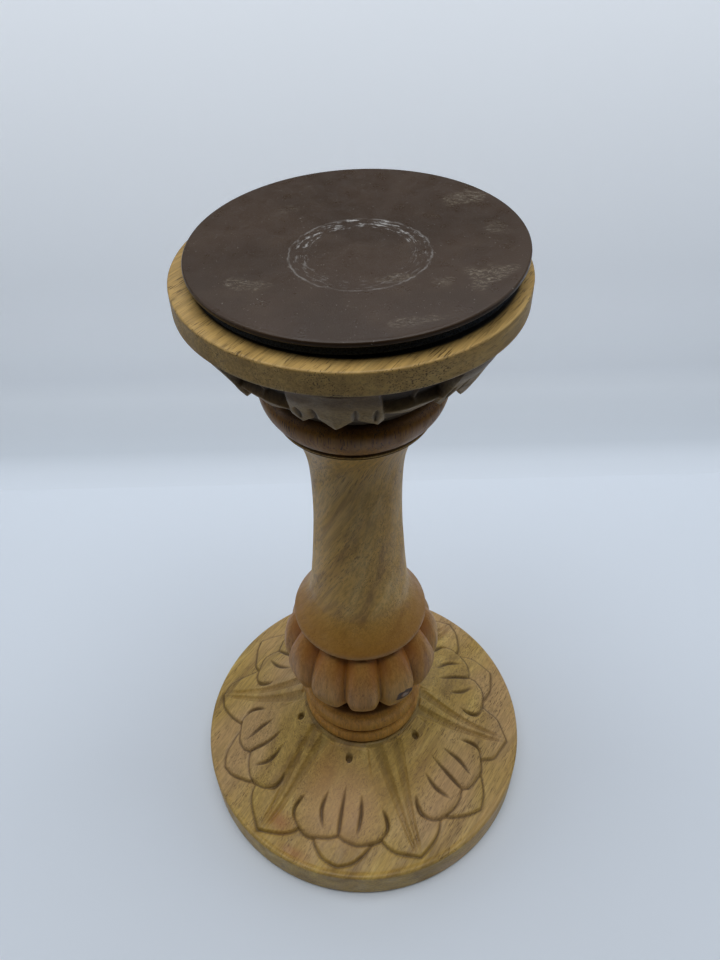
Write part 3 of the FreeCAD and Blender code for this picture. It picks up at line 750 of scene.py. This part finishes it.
def makeBell():
    low, high = bottomOf("lotus_bell"), topOf("lotus_bell")
    share = np.linspace(0, 1, bell["rows"])
    radius = bell["foot"] + (bell["top"] - bell["foot"]) * share ** 0.7
    angle = anglesRound(bell["columns"])
    degrees = np.repeat(np.degrees(angle)[None, :], bell["rows"], axis=0)
    wide = [np.repeat(values[:, None], bell["columns"], axis=1) for values in (share, radius)]
    relief, dark = bellRelief(degrees, *wide)
    slope = np.arctan2(np.gradient(share) * (high - low), np.gradient(radius))
    inside = (smoothStep(share, 0.0, 0.04) * smoothStep(-share, -0.995, -0.95))[:, None]
    push = (bell["ground"] + relief) * inside
    push += handWaves(degrees * 0.6, share[:, None] * 30, seed=14, size=9.0, amount=0.1) * inside
    grid = radius[:, None] + push * np.sin(slope)[:, None]
    height = (low + (high - low) * share)[:, None] - push * np.cos(slope)[:, None]
    height = np.clip(height, low + 0.02, high)
    floor = high - bell["pocketDepth"]
    first, firstHeight = roundRows([(boreRadius, low)], bell["columns"])
    last, lastHeight = roundRows([(bell["pocket"], high), (bell["pocket"], floor), (boreRadius, floor)],
                                 bell["columns"])
    grid, height = np.vstack([first, grid, last]), np.vstack([firstHeight, height, lastHeight])
    dark = np.vstack([first * 0, dark, last * 0])
    # Painted shade on the upper bell, under the platter
    stainAndShade = 0.55 * smoothStep(share, 0.62, 0.86)[:, None] + degrees * 0
    stainAndShade = np.vstack([first * 0, stainAndShade, last * 0])
    boredPiece("lotusBell", grid, height, bellWood, "lotus_bell",
               {"cut": dark, "stainAndShade": stainAndShade})


makeBell()


def plateFrame():
    # Centre of the resting plate and its leaning axes, from the fitting's joint and the plate's mount
    mount = next(m for m in frame["record"]["mounts"] if m["name"] == "plate_top")
    up = Vector(mount["axis"]).normalized()
    right = (Vector((1, 0, 0)) - up * up.x).normalized()
    return Vector(mount["pos_m"]) / mm, right, up.cross(right), up


plateCenter, plateRight, plateBack, plateUp = plateFrame()


def leaning(points):
    # From the plate's own axes, with z = 0 on its top face, to the object's
    axes = np.array([plateRight, plateBack, plateUp])
    return np.array(plateCenter) + points @ axes


platter = {"columns": 384, "edge": 0.55, "pocket": 11.5, "pocketDepth": 4.0, "wave": 0.06}
plate = {"radius": 44.5, "thickness": 1.5, "edge": 0.45, "columns": 360, "dip": 0.04}
foam = {"radius": 43.3, "thickness": 2.7, "hole": 12.5, "columns": 420, "rows": 14, "pinch": 0.28,
        "edge": 0.25, "ragged": 0.07, "shadowShift": (-0.2, 0.9)}
felt = {"columns": 300, "fray": 0.12}
quarterTurn = np.radians([0, 22, 45, 68, 90])


def makePlatter():
    low, high = bottomOf("platter"), topOf("platter")
    outer, edge = halfWidthOf("platter"), platter["edge"]
    pocket, pocketFloor = platter["pocket"], high - platter["pocketDepth"]
    profile = [(boreRadius, low), (30.0, low)]
    profile += [(outer - edge * (1 - math.sin(a)), low + edge * (1 - math.cos(a))) for a in quarterTurn]
    profile += [(outer, z) for z in np.linspace(low + 1.4, high - 1.3, 8)]
    profile += [(outer - edge * (1 - math.cos(a)), high - edge * (1 - math.sin(a))) for a in quarterTurn]
    side = slice(2, len(profile))
    profile += [(r, high) for r in np.linspace(outer - 1.2, 36, 26)]
    profile += [(pocket, high), (pocket, pocketFloor), (boreRadius, pocketFloor)]
    radius, height = roundRows(profile, platter["columns"])
    angle = anglesRound(platter["columns"])
    waves = handWaves(np.cos(angle) * 47, np.sin(angle) * 47 + height[side], seed=15, size=30.0,
                      amount=platter["wave"])
    radius[side] += np.minimum(waves - platter["wave"], 0)
    # Painted shadow: the top of the wood under the foam pad is painted black, standing in for the shade in
    # the gap under the pad
    east, north = plateCenter[0] + foam["shadowShift"][0], plateCenter[1] + foam["shadowShift"][1]
    away = np.hypot(radius * np.cos(angle) - east, radius * np.sin(angle) - north)
    stainAndShade = smoothStep(-away, -foam["radius"] - 0.4, -foam["radius"] + 0.4) * (height > high - 0.1)
    boredPiece("platterDisc", radius, height, platterWood, "platter", {"stainAndShade": stainAndShade})


makePlatter()
print("wood pieces made")


def makePlate():
    radius, edge, low = plate["radius"], plate["edge"], -plate["thickness"]
    profile = [(0.4, low), (20.0, low)]
    profile += [(radius - edge * (1 - math.sin(a)), low + edge * (1 - math.cos(a))) for a in quarterTurn]
    profile += [(radius - edge * (1 - math.cos(a)), -edge * (1 - math.sin(a))) for a in quarterTurn]
    top = slice(len(profile), None)
    profile += [(r, 0.0) for r in np.linspace(radius - 0.9, 0.4, 60)]
    radii, heights = roundRows(profile, plate["columns"])
    angle = anglesRound(plate["columns"])
    x, y = radii[top] * np.cos(angle), radii[top] * np.sin(angle)
    # The moulding is not quite flat
    heights[top] -= plate["dip"] + handWaves(x, y, seed=31, size=60.0, amount=0.035)
    vertices, faces, index = roundGrid(radii, heights)
    faces += [index[0][::-1].tolist(), index[-1].tolist()]
    return makePiece("topPlate", leaning(vertices), faces, platePlastic, "tilt_plate",
                     ["top_plate"])


def makeFoam():
    # A die-cut ring of foam: its edge is pinched a little at mid height and slightly ragged
    high, low = -plate["thickness"] - 0.01, -plate["thickness"] - foam["thickness"]
    outer, hole = foam["radius"], foam["hole"]
    shares = np.linspace(0, 1, foam["rows"])
    side = []
    for s in shares:
        inset = foam["pinch"] * math.sin(math.pi * s)
        side.append((outer - inset - foam["edge"] * (abs(2 * s - 1) ** 8), low + (high - low) * s))
    profile = [(hole, low), (28.0, low + 0.02), (outer - 0.8, low + 0.02)] + side
    profile += [(outer - 0.8, high), (hole, high)]
    radii, heights = roundRows(profile, foam["columns"])
    rng = np.random.default_rng(17)
    ragged = rng.uniform(-1, 1, (len(side), foam["columns"])) * foam["ragged"]
    ragged += handWaves(np.arange(foam["columns"]) * 0.6, shares[:, None] * 3, seed=18, size=9.0,
                        amount=0.05)
    radii[3:3 + len(side)] -= np.abs(ragged)
    vertices, faces, index = roundGrid(radii, heights)
    loop = np.stack([index[-1], np.roll(index[-1], -1), np.roll(index[0], -1), index[0]], axis=-1)
    piece = makePiece("foamRing", leaning(vertices), faces + loop.tolist(), blackFoam,
                      "tilt_plate", ["foam_ring"])
    return piece


def makeFelt():
    # Needled felt pad under the base, with a fibrous cut edge
    outer = halfWidthOf("base_felt")
    top = topOf("base_felt")
    profile = [(0.5, 0.0), (30.0, 0.0), (outer - 0.4, 0.0), (outer - 0.1, 0.25), (outer, 0.7),
               (outer - 0.1, top - 0.15), (outer - 0.5, top), (30.0, top), (0.5, top)]
    radii, heights = roundRows(profile, felt["columns"])
    rng = np.random.default_rng(23)
    radii[2:7] -= rng.uniform(0, felt["fray"], (5, felt["columns"]))
    vertices, faces, index = roundGrid(radii, heights)
    faces += [index[0][::-1].tolist(), index[-1].tolist()]
    return makePiece("baseFelt", vertices, faces, greyFelt, "root", ["base_felt"])


plateColors = {
    "dark": "#3A2A1B", "light": "#433223", "dust": "#50402F", "speck": "#9C958A", "scuff": "#B0A48E",
    "glue": "#C9C6C0",
    # centre and half sizes in mm, turn in degrees, strength
    "scuffs": [((32.0, -19.0), (14.0, 11.0), 30.0, 0.62), ((21.0, -21.0), (7.0, 6.0), 0.0, 0.45),
               ((29.5, 22.0), (14.0, 9.0), 20.0, 0.5), ((-27.0, -18.0), (13.0, 7.0), -12.0, 0.4),
               ((10.0, -18.0), (11.0, 6.0), 8.0, 0.42), ((13.0, -37.0), (16.0, 4.5), 8.0, 0.34),
               ((-19.0, 20.0), (8.0, 6.0), 0.0, 0.2), ((36.0, 4.0), (9.0, 9.0), 40.0, 0.3)],
}
# Ring of dried glue, mm: centre on the plate, edges, and how far they stray
glue = {"center": (0.9, -5.5), "inner": 13.4, "outer": 18.1, "ragged": 1.3}
glueSpan = 40.0  # mm that a ramp's whole length stands for


def satinPlastic():
    # Moulded polystyrene, dark brown, satin: fine scuffs, dust in patches and a broken ring of
    # dried white glue where a figure once stood
    material, tree, shader = newMaterial("moulded polystyrene, satin brown, scuffed", 0.32,
                                         Specular_IOR_Level=0.28)
    spot = addNode(tree, "ShaderNodeTexCoord").outputs["Object"]
    local = addNode(tree, "ShaderNodeVectorMath", {"operation": "SUBTRACT"}, {0: spot})
    local.inputs[1].default_value = [v * mm for v in plateCenter]
    place = addNode(tree, "ShaderNodeMapping", links={"Vector": local.outputs[0]}, Scale=[1000.0] * 3)
    place = place.outputs["Vector"]

    def noise(scale, detail, stretch=(1, 1, 1), turn=0.0, rough=0.5):
        turned = addNode(tree, "ShaderNodeMapping", links={"Vector": place}, Scale=stretch,
                         Rotation=(0, 0, math.radians(turn)))
        return addNode(tree, "ShaderNodeTexNoise", links={"Vector": turned.outputs["Vector"]},
                       Scale=scale, Detail=detail, Roughness=rough).outputs["Fac"]

    def patch(center, size, turn, ragged, scale):
        # 1 inside a ragged oval patch, 0 outside
        moved = addNode(tree, "ShaderNodeMapping", {"vector_type": "TEXTURE"}, {"Vector": place},
                        Location=(center[0], center[1], 0.0), Rotation=(0, 0, math.radians(turn)),
                        Scale=(size[0], size[1], 30.0))
        length = addNode(tree, "ShaderNodeVectorMath", {"operation": "LENGTH"}, {0: moved.outputs[0]})
        wave = addNode(tree, "ShaderNodeMath", {"operation": "MULTIPLY_ADD"},
                       {0: noise(scale, 4.0), 2: length.outputs["Value"]})
        wave.inputs[1].default_value = ragged
        return ramp(tree, wave.outputs[0], [(0.75, 1.0), (1.0 + ragged * 0.4, 0.0)])

    color = ramp(tree, noise(0.03, 3.0), [(0.35, plateColors["dark"]), (0.65, plateColors["light"])])
    dust = ramp(tree, noise(0.11, 5.0, rough=0.65), [(0.48, 0.0), (0.75, 0.35)])
    color = tint(tree, color, linear(plateColors["dust"]), dust)
    specks = ramp(tree, noise(1.7, 2.0), [(0.7, 0.0), (0.76, 0.6)])
    color = tint(tree, color, linear(plateColors["speck"]), specks)
    for center, size, turn, share in plateColors["scuffs"]:
        chalk = ramp(tree, noise(1.3, 6.0, (0.5, 1.3, 1.0), turn, 0.85), [(0.47, 0.0), (0.66, 1.0)])
        streaky = tint(tree, patch(center, size, turn, 1.0, 0.16), chalk, 1.0, "MULTIPLY")
        weight = addNode(tree, "ShaderNodeMath", {"operation": "MULTIPLY"}, {0: streaky})
        weight.inputs[1].default_value = share
        color = tint(tree, color, linear(plateColors["scuff"]), weight.outputs[0])

    # Dried glue: between two circles, broken and flaky
    glueSpot = addNode(tree, "ShaderNodeMapping", {"vector_type": "TEXTURE"}, {"Vector": place},
                       Location=(glue["center"][0], glue["center"][1], 0.0)).outputs[0]
    away = addNode(tree, "ShaderNodeVectorMath", {"operation": "LENGTH"}, {0: glueSpot}).outputs["Value"]
    rough = addNode(tree, "ShaderNodeMath", {"operation": "MULTIPLY_ADD"}, {0: noise(0.55, 4.0), 2: away})
    rough.inputs[1].default_value = glue["ragged"]
    scaled = addNode(tree, "ShaderNodeMath", {"operation": "MULTIPLY"}, {0: rough.outputs[0]})
    scaled.inputs[1].default_value = 1 / glueSpan
    stray = glue["ragged"] / 2
    inner, outer = (glue["inner"] + stray) / glueSpan, (glue["outer"] + stray) / glueSpan
    bandStops = [(inner - 0.012, 0.0), (inner + 0.008, 1.0), (outer - 0.004, 1.0), (outer + 0.004, 0.0)]
    band = ramp(tree, scaled.outputs[0], bandStops, False)
    # The flakes run round the ring, and most of them are left at its back
    parts = addNode(tree, "ShaderNodeSeparateXYZ", links={"Vector": glueSpot}).outputs
    turn = addNode(tree, "ShaderNodeMath", {"operation": "ARCTAN2"}, {0: parts["Y"], 1: parts["X"]})
    around = addNode(tree, "ShaderNodeCombineXYZ", links={"X": away, "Y": turn.outputs[0]})
    drawn = addNode(tree, "ShaderNodeMapping", links={"Vector": around.outputs[0]},
                    Scale=(1.0, glue["outer"] * 0.22, 1.0))
    flakes = addNode(tree, "ShaderNodeTexNoise", links={"Vector": drawn.outputs[0]}, Scale=0.95, Detail=5.0,
                     Roughness=0.72).outputs["Fac"]
    flakes = ramp(tree, flakes, [(0.52, 0.0), (0.66, 1.0)])
    glueMask = tint(tree, band, flakes, 1.0, "MULTIPLY")
    backward = addNode(tree, "ShaderNodeMath", {"operation": "MULTIPLY_ADD"}, {0: parts["Y"]})
    backward.inputs[1].default_value = 1 / glueSpan
    backward.inputs[2].default_value = 0.5
    worn = ramp(tree, backward.outputs[0], [(0.2, 0.14), (0.5, 0.3), (0.75, 0.8)])
    glueMask = tint(tree, glueMask, worn, 1.0, "MULTIPLY")
    # A thin line of glue is left along the outer edge
    rimStops = [(outer - 0.010, 0.0), (outer - 0.004, 1.0), (outer, 1.0), (outer + 0.006, 0.0)]
    rim = ramp(tree, scaled.outputs[0], rimStops, False)
    rimBreak = ramp(tree, noise(0.2, 4.0), [(0.4, 0.03), (0.62, 0.22)])
    rimMask = tint(tree, rim, rimBreak, 1.0, "MULTIPLY")
    glueMask = tint(tree, glueMask, rimMask, 1.0, "LIGHTEN")
    color = tint(tree, color, linear(plateColors["glue"]), glueMask)
    tree.links.new(color, shader.inputs["Base Color"])

    haze = ramp(tree, noise(0.2, 4.0), [(0.3, 0.27), (0.7, 0.37)])
    haze = tint(tree, haze, (0.8, 0.8, 0.8, 1.0), glueMask)
    tree.links.new(haze, shader.inputs["Roughness"])
    fine = addNode(tree, "ShaderNodeMath", {"operation": "MULTIPLY_ADD"}, {0: glueMask, 2: noise(2.2, 2.0)})
    fine.inputs[1].default_value = 2.0
    bump = addNode(tree, "ShaderNodeBump", links={"Height": fine.outputs[0]}, Strength=0.4, Distance=0.0001)
    tree.links.new(bump.outputs["Normal"], shader.inputs["Normal"])
    return material


cellSize = 0.45   # mm, cells of the foam
fibreSize = 0.6   # mm, loose fibres of the felt


def cutFoam():
    # Closed-cell foam, die cut and black: cells show on the cut edge and keep it matt
    material, tree, shader = newMaterial("closed-cell foam, die cut, black", 0.85, Specular_IOR_Level=0.25)
    spot = addNode(tree, "ShaderNodeTexCoord").outputs["Object"]
    cells = addNode(tree, "ShaderNodeTexVoronoi", links={"Vector": spot}, Scale=1000 / cellSize)
    color = ramp(tree, cells.outputs["Distance"], [(0.15, "#0C1116"), (0.7, "#2B343E")])
    tree.links.new(color, shader.inputs["Base Color"])
    bump = addNode(tree, "ShaderNodeBump", links={"Height": cells.outputs["Distance"]}, Strength=0.9,
                   Distance=0.00018)
    tree.links.new(bump.outputs["Normal"], shader.inputs["Normal"])
    return material


def needledFelt():
    # Wool and polyester felt, needled: loose crossing fibres and a soft sheen
    material, tree, shader = newMaterial("needled felt, grey", 0.95, Sheen_Weight=0.3)
    spot = addNode(tree, "ShaderNodeTexCoord").outputs["Object"]
    fibres = addNode(tree, "ShaderNodeTexNoise", links={"Vector": spot}, Scale=1000 / fibreSize,
                     Detail=4.0, Distortion=1.5)
    color = ramp(tree, fibres.outputs["Fac"], [(0.35, "#57534E"), (0.65, "#7C7771")])
    tree.links.new(color, shader.inputs["Base Color"])
    bump = addNode(tree, "ShaderNodeBump", links={"Height": fibres.outputs["Fac"]}, Strength=0.8,
                   Distance=0.0003)
    tree.links.new(bump.outputs["Normal"], shader.inputs["Normal"])
    return material


platePlastic = satinPlastic()
blackFoam = cutFoam()
greyFelt = needledFelt()
makePlate()
makeFoam()
makeFelt()


def hardwareFinish(name, colors, roughness, metallic, grain, stretch=(1, 1, 1), bumpDepth=0.02):
    # Fine uneven tone and gloss at the scale of the finish. grain is its size in mm
    material, tree, shader = newMaterial(name, roughness, Metallic=metallic)
    spot = addNode(tree, "ShaderNodeTexCoord").outputs["Object"]
    sized = addNode(tree, "ShaderNodeMapping", links={"Vector": spot},
                    Scale=[1000 / grain * s for s in stretch])
    tone = addNode(tree, "ShaderNodeTexNoise", links={"Vector": sized.outputs["Vector"]}, Scale=1.0,
                   Detail=3.0).outputs["Fac"]
    tree.links.new(ramp(tree, tone, [(0.3, colors[0]), (0.7, colors[1])]), shader.inputs["Base Color"])
    tree.links.new(ramp(tree, tone, [(0.3, roughness - 0.06), (0.7, roughness + 0.08)]),
                   shader.inputs["Roughness"])
    bump = addNode(tree, "ShaderNodeBump", links={"Height": tone}, Strength=0.3, Distance=bumpDepth * mm)
    tree.links.new(bump.outputs["Normal"], shader.inputs["Normal"])
    return material


# Bright zinc plate on steel: cool grey, faint cloudy crystals under a soft shine
zincSteel = hardwareFinish("electroplated zinc on turned steel", ("#A9ABAA", "#C6C8C5"), 0.33, 1.0, 0.8)
# Turned brass: yellow, with fine rings from the lathe
bushBrass = hardwareFinish("turned brass", ("#B08D4A", "#C8A763"), 0.28, 1.0, 0.3, (1, 1, 6))
# Moulded nylon: milky white and slightly waxy
whiteNylon = hardwareFinish("moulded nylon", ("#DEDCD5", "#EDEBE6"), 0.42, 0.0, 1.5)
# Planed beech dowel: pale pink-brown with short flecks along its length
beechDowel = hardwareFinish("planed beech", ("#C39A6C", "#D8B78A"), 0.6, 0.0, 0.5, (1, 1, 0.12), 0.05)
# Foam mounting tape: white, matt, with small cells
whiteTape = hardwareFinish("foam mounting tape", ("#D6D4CE", "#E6E4DF"), 0.8, 0.0, 0.3, (1, 1, 1), 0.05)

slotMaterials = {"zinc_steel": zincSteel, "bush_brass": bushBrass, "white_nylon": whiteNylon,
                 "beech_dowel": beechDowel, "white_tape": whiteTape}
slotOfNode = {part["node"]: part["material_slot"] for part in frame["record"]["subparts"]}
for nodeName, cadObject in frame["nodes"].items():
    finish = slotMaterials.get(slotOfNode[nodeName])
    if finish:
        cadObject.data.materials.clear()
        cadObject.data.materials.append(finish)
print("plate, foam, felt and hardware finished")


studio = {
    # metres and watts
    "floorColor": "#E0E6ED", "fadeFrom": 0.25, "fadeTo": 0.42, "rimPoints": 96,
    "wallColor": "#E6ECF3", "wallFootShade": "#CFD6DD", "wallPlace": 0.225, "wallBend": 0.05,
    "wallMiddle": 0.2, "wallHeight": 0.29, "wallHalf": 0.42, "wallGlow": 0.26,
    "flagPlace": -0.30, "flagFoot": 0.04, "flagHeight": 0.5, "flagHalf": 0.5,
    "world": "#CBD6E3", "worldStrength": 0.12, "seenStrength": 1.0,
    "topPower": 14.3, "topSize": (1.3, 0.9), "topPlace": (0.0, -0.09, 1.45), "topAim": (0.0, 0.0, 0.1),
    "topColor": "#F6FAFF",
    "sidePower": 1.0, "sideSize": (0.5, 0.6), "sideReach": 0.9, "sideBack": 0.1, "sideHeight": 0.55,
    "sideAim": (0.0, 0.0, 0.12), "sideColor": "#F0F6FF",
    "sheenPower": 1.7, "sheenSize": (0.8, 0.3), "sheenPlace": (0.0, 0.6, 0.9),
    "sheenAim": (0.0, 0.0, 0.258),
}


def stagePiece(name, vertices, faces, material):
    mesh = bpy.data.meshes.new(name)
    mesh.from_pydata(vertices, [], faces)
    mesh.polygons.foreach_set("use_smooth", [True] * len(faces))
    mesh.materials.append(material)
    piece = bpy.data.objects.new(name, mesh)
    bpy.context.scene.collection.objects.link(piece)
    return piece


def makeFloor():
    # A round pale table top that fades into the pale room at its rim
    material, tree, shader = newMaterial("matt backdrop paper, floor", 0.9)
    shader.inputs["Base Color"].default_value = linear(studio["floorColor"])
    spot = addNode(tree, "ShaderNodeTexCoord").outputs["Object"]
    away = addNode(tree, "ShaderNodeVectorMath", {"operation": "LENGTH"}, {0: spot}).outputs["Value"]
    fade = ramp(tree, away, [(studio["fadeFrom"], 0.0), (studio["fadeTo"], 1.0)])
    clear = addNode(tree, "ShaderNodeBsdfTransparent").outputs["BSDF"]
    both = addNode(tree, "ShaderNodeMixShader", links={0: fade, 1: shader.outputs["BSDF"], 2: clear})
    tree.links.new(both.outputs[0], tree.nodes["Material Output"].inputs["Surface"])
    count = studio["rimPoints"]
    rim = studio["fadeTo"] * 1.05
    vertices = [(rim * math.cos(2 * math.pi * i / count), rim * math.sin(2 * math.pi * i / count), 0.0)
                for i in range(count)]
    stagePiece("paperFloor", vertices, [tuple(range(count))], material)


def makeWall():
    # A pale board close behind. It shows only its front, so that it hides nothing from behind.
    # A faint glow, stronger towards its top, stands for the room light that it catches
    material, tree, shader = newMaterial("matt backdrop paper, wall", 0.9)
    spot = addNode(tree, "ShaderNodeTexCoord").outputs["Object"]
    rise = addNode(tree, "ShaderNodeSeparateXYZ", links={"Vector": spot}).outputs["Z"]
    # The paper is painted darker just above the crease: painted shade low on the wall
    paperStops = [(0.0, studio["floorColor"]), (0.008, studio["wallFootShade"]), (0.1, studio["wallColor"])]
    paper = ramp(tree, rise, paperStops)
    tree.links.new(paper, shader.inputs["Base Color"])
    full = studio["wallGlow"]
    glowStops = [(0.0, 0.0), (0.035, full * 0.85), (0.12, full), (0.27, full * 2.0)]
    glow = ramp(tree, rise, glowStops, False)
    shader.inputs["Emission Color"].default_value = linear(studio["wallColor"])
    tree.links.new(glow, shader.inputs["Emission Strength"])
    back = addNode(tree, "ShaderNodeNewGeometry").outputs["Backfacing"]
    clear = addNode(tree, "ShaderNodeBsdfTransparent").outputs["BSDF"]
    both = addNode(tree, "ShaderNodeMixShader", links={0: back, 1: shader.outputs["BSDF"], 2: clear})
    tree.links.new(both.outputs[0], tree.nodes["Material Output"].inputs["Surface"])
    wall, bend, half = studio["wallPlace"], studio["wallBend"], studio["wallHalf"]
    turn = np.radians([0, 15, 30, 45, 60, 75, 90])
    profile = [(wall - bend + bend * math.sin(a), 0.0005 + bend * (1 - math.cos(a))) for a in turn]
    profile += [(wall, studio["wallMiddle"]), (wall, studio["wallHeight"])]
    vertices = [(x, y, z) for x in (-half, half) for y, z in profile]
    count = len(profile)
    faces = [(i, count + i, count + i + 1, i + 1) for i in range(count - 1)]
    stagePiece("paperWall", vertices, faces, material)


def makeFlag():
    # A black flag in front keeps light off the front of the stand. The camera doesn't see it
    material, _, shader = newMaterial("black duvetyne flag", 1.0, Specular_IOR_Level=0.0)
    shader.inputs["Base Color"].default_value = linear("#060606")
    y, foot, top, half = [studio[key] for key in ("flagPlace", "flagFoot", "flagHeight", "flagHalf")]
    vertices = [(-half, y, foot), (half, y, foot), (half, y, top), (-half, y, top)]
    flag = stagePiece("blackFlag", vertices, [(0, 1, 2, 3)], material)
    flag.visible_camera = False


def areaLight(name, place, aim, size, power, color):
    light = bpy.data.lights.new(name, "AREA")
    light.shape = "RECTANGLE"
    light.size, light.size_y = size
    light.energy = power
    light.color = linear(color)[:3]
    holder = bpy.data.objects.new(name, light)
    holder.location = place
    holder.rotation_euler = (Vector(aim) - Vector(place)).to_track_quat("-Z", "Y").to_euler()
    bpy.context.scene.collection.objects.link(holder)
    return holder


def makeStudio():
    areaLight("overheadSoftbox", studio["topPlace"], studio["topAim"], studio["topSize"],
              studio["topPower"], studio["topColor"])
    for name, side in (("leftSoftbox", -1), ("rightSoftbox", 1)):
        place = (studio["sideReach"] * side, studio["sideBack"], studio["sideHeight"])
        areaLight(name, place, studio["sideAim"], studio["sideSize"], studio["sidePower"],
                  studio["sideColor"])
    # A low panel behind: its sheen lies on the near half of the plate
    panel = areaLight("sheenPanel", studio["sheenPlace"], studio["sheenAim"], studio["sheenSize"],
                      studio["sheenPower"], studio["sideColor"])
    panel.visible_camera = False
    panel.visible_diffuse = False
    world = bpy.data.worlds.new("paleRoom")
    world.use_nodes = True
    background = world.node_tree.nodes["Background"]
    background.inputs["Color"].default_value = linear(studio["world"])
    # Dim as a light, pale where it is seen behind the stand
    seen = addNode(world.node_tree, "ShaderNodeLightPath").outputs["Is Camera Ray"]
    strength = addNode(world.node_tree, "ShaderNodeMath", {"operation": "MULTIPLY_ADD"}, {0: seen})
    strength.inputs[1].default_value = studio["seenStrength"] - studio["worldStrength"]
    strength.inputs[2].default_value = studio["worldStrength"]
    world.node_tree.links.new(strength.outputs[0], background.inputs["Strength"])
    bpy.context.scene.world = world
    bpy.context.scene.view_settings.view_transform = "Standard"


# lens and place in mm, turns in radians
view = {"lens": 29.493, "place": (1.0904, -186.7147, 355.0211), "downwards": 0.7731, "roll": -0.0242}


def makeCamera():
    camera = bpy.data.cameras.new("stillCamera")
    camera.sensor_width = 36.0
    camera.lens = view["lens"]
    camera.clip_start = 0.01
    holder = bpy.data.objects.new("stillCamera", camera)
    holder.location = [v * mm for v in view["place"]]
    holder.rotation_mode = "ZYX"
    holder.rotation_euler = (math.pi / 2 - view["downwards"], 0.0, view["roll"])
    bpy.context.scene.collection.objects.link(holder)
    bpy.context.scene.camera = holder


makeFloor()
makeWall()
makeFlag()
makeStudio()
makeCamera()
print("studio and camera set")
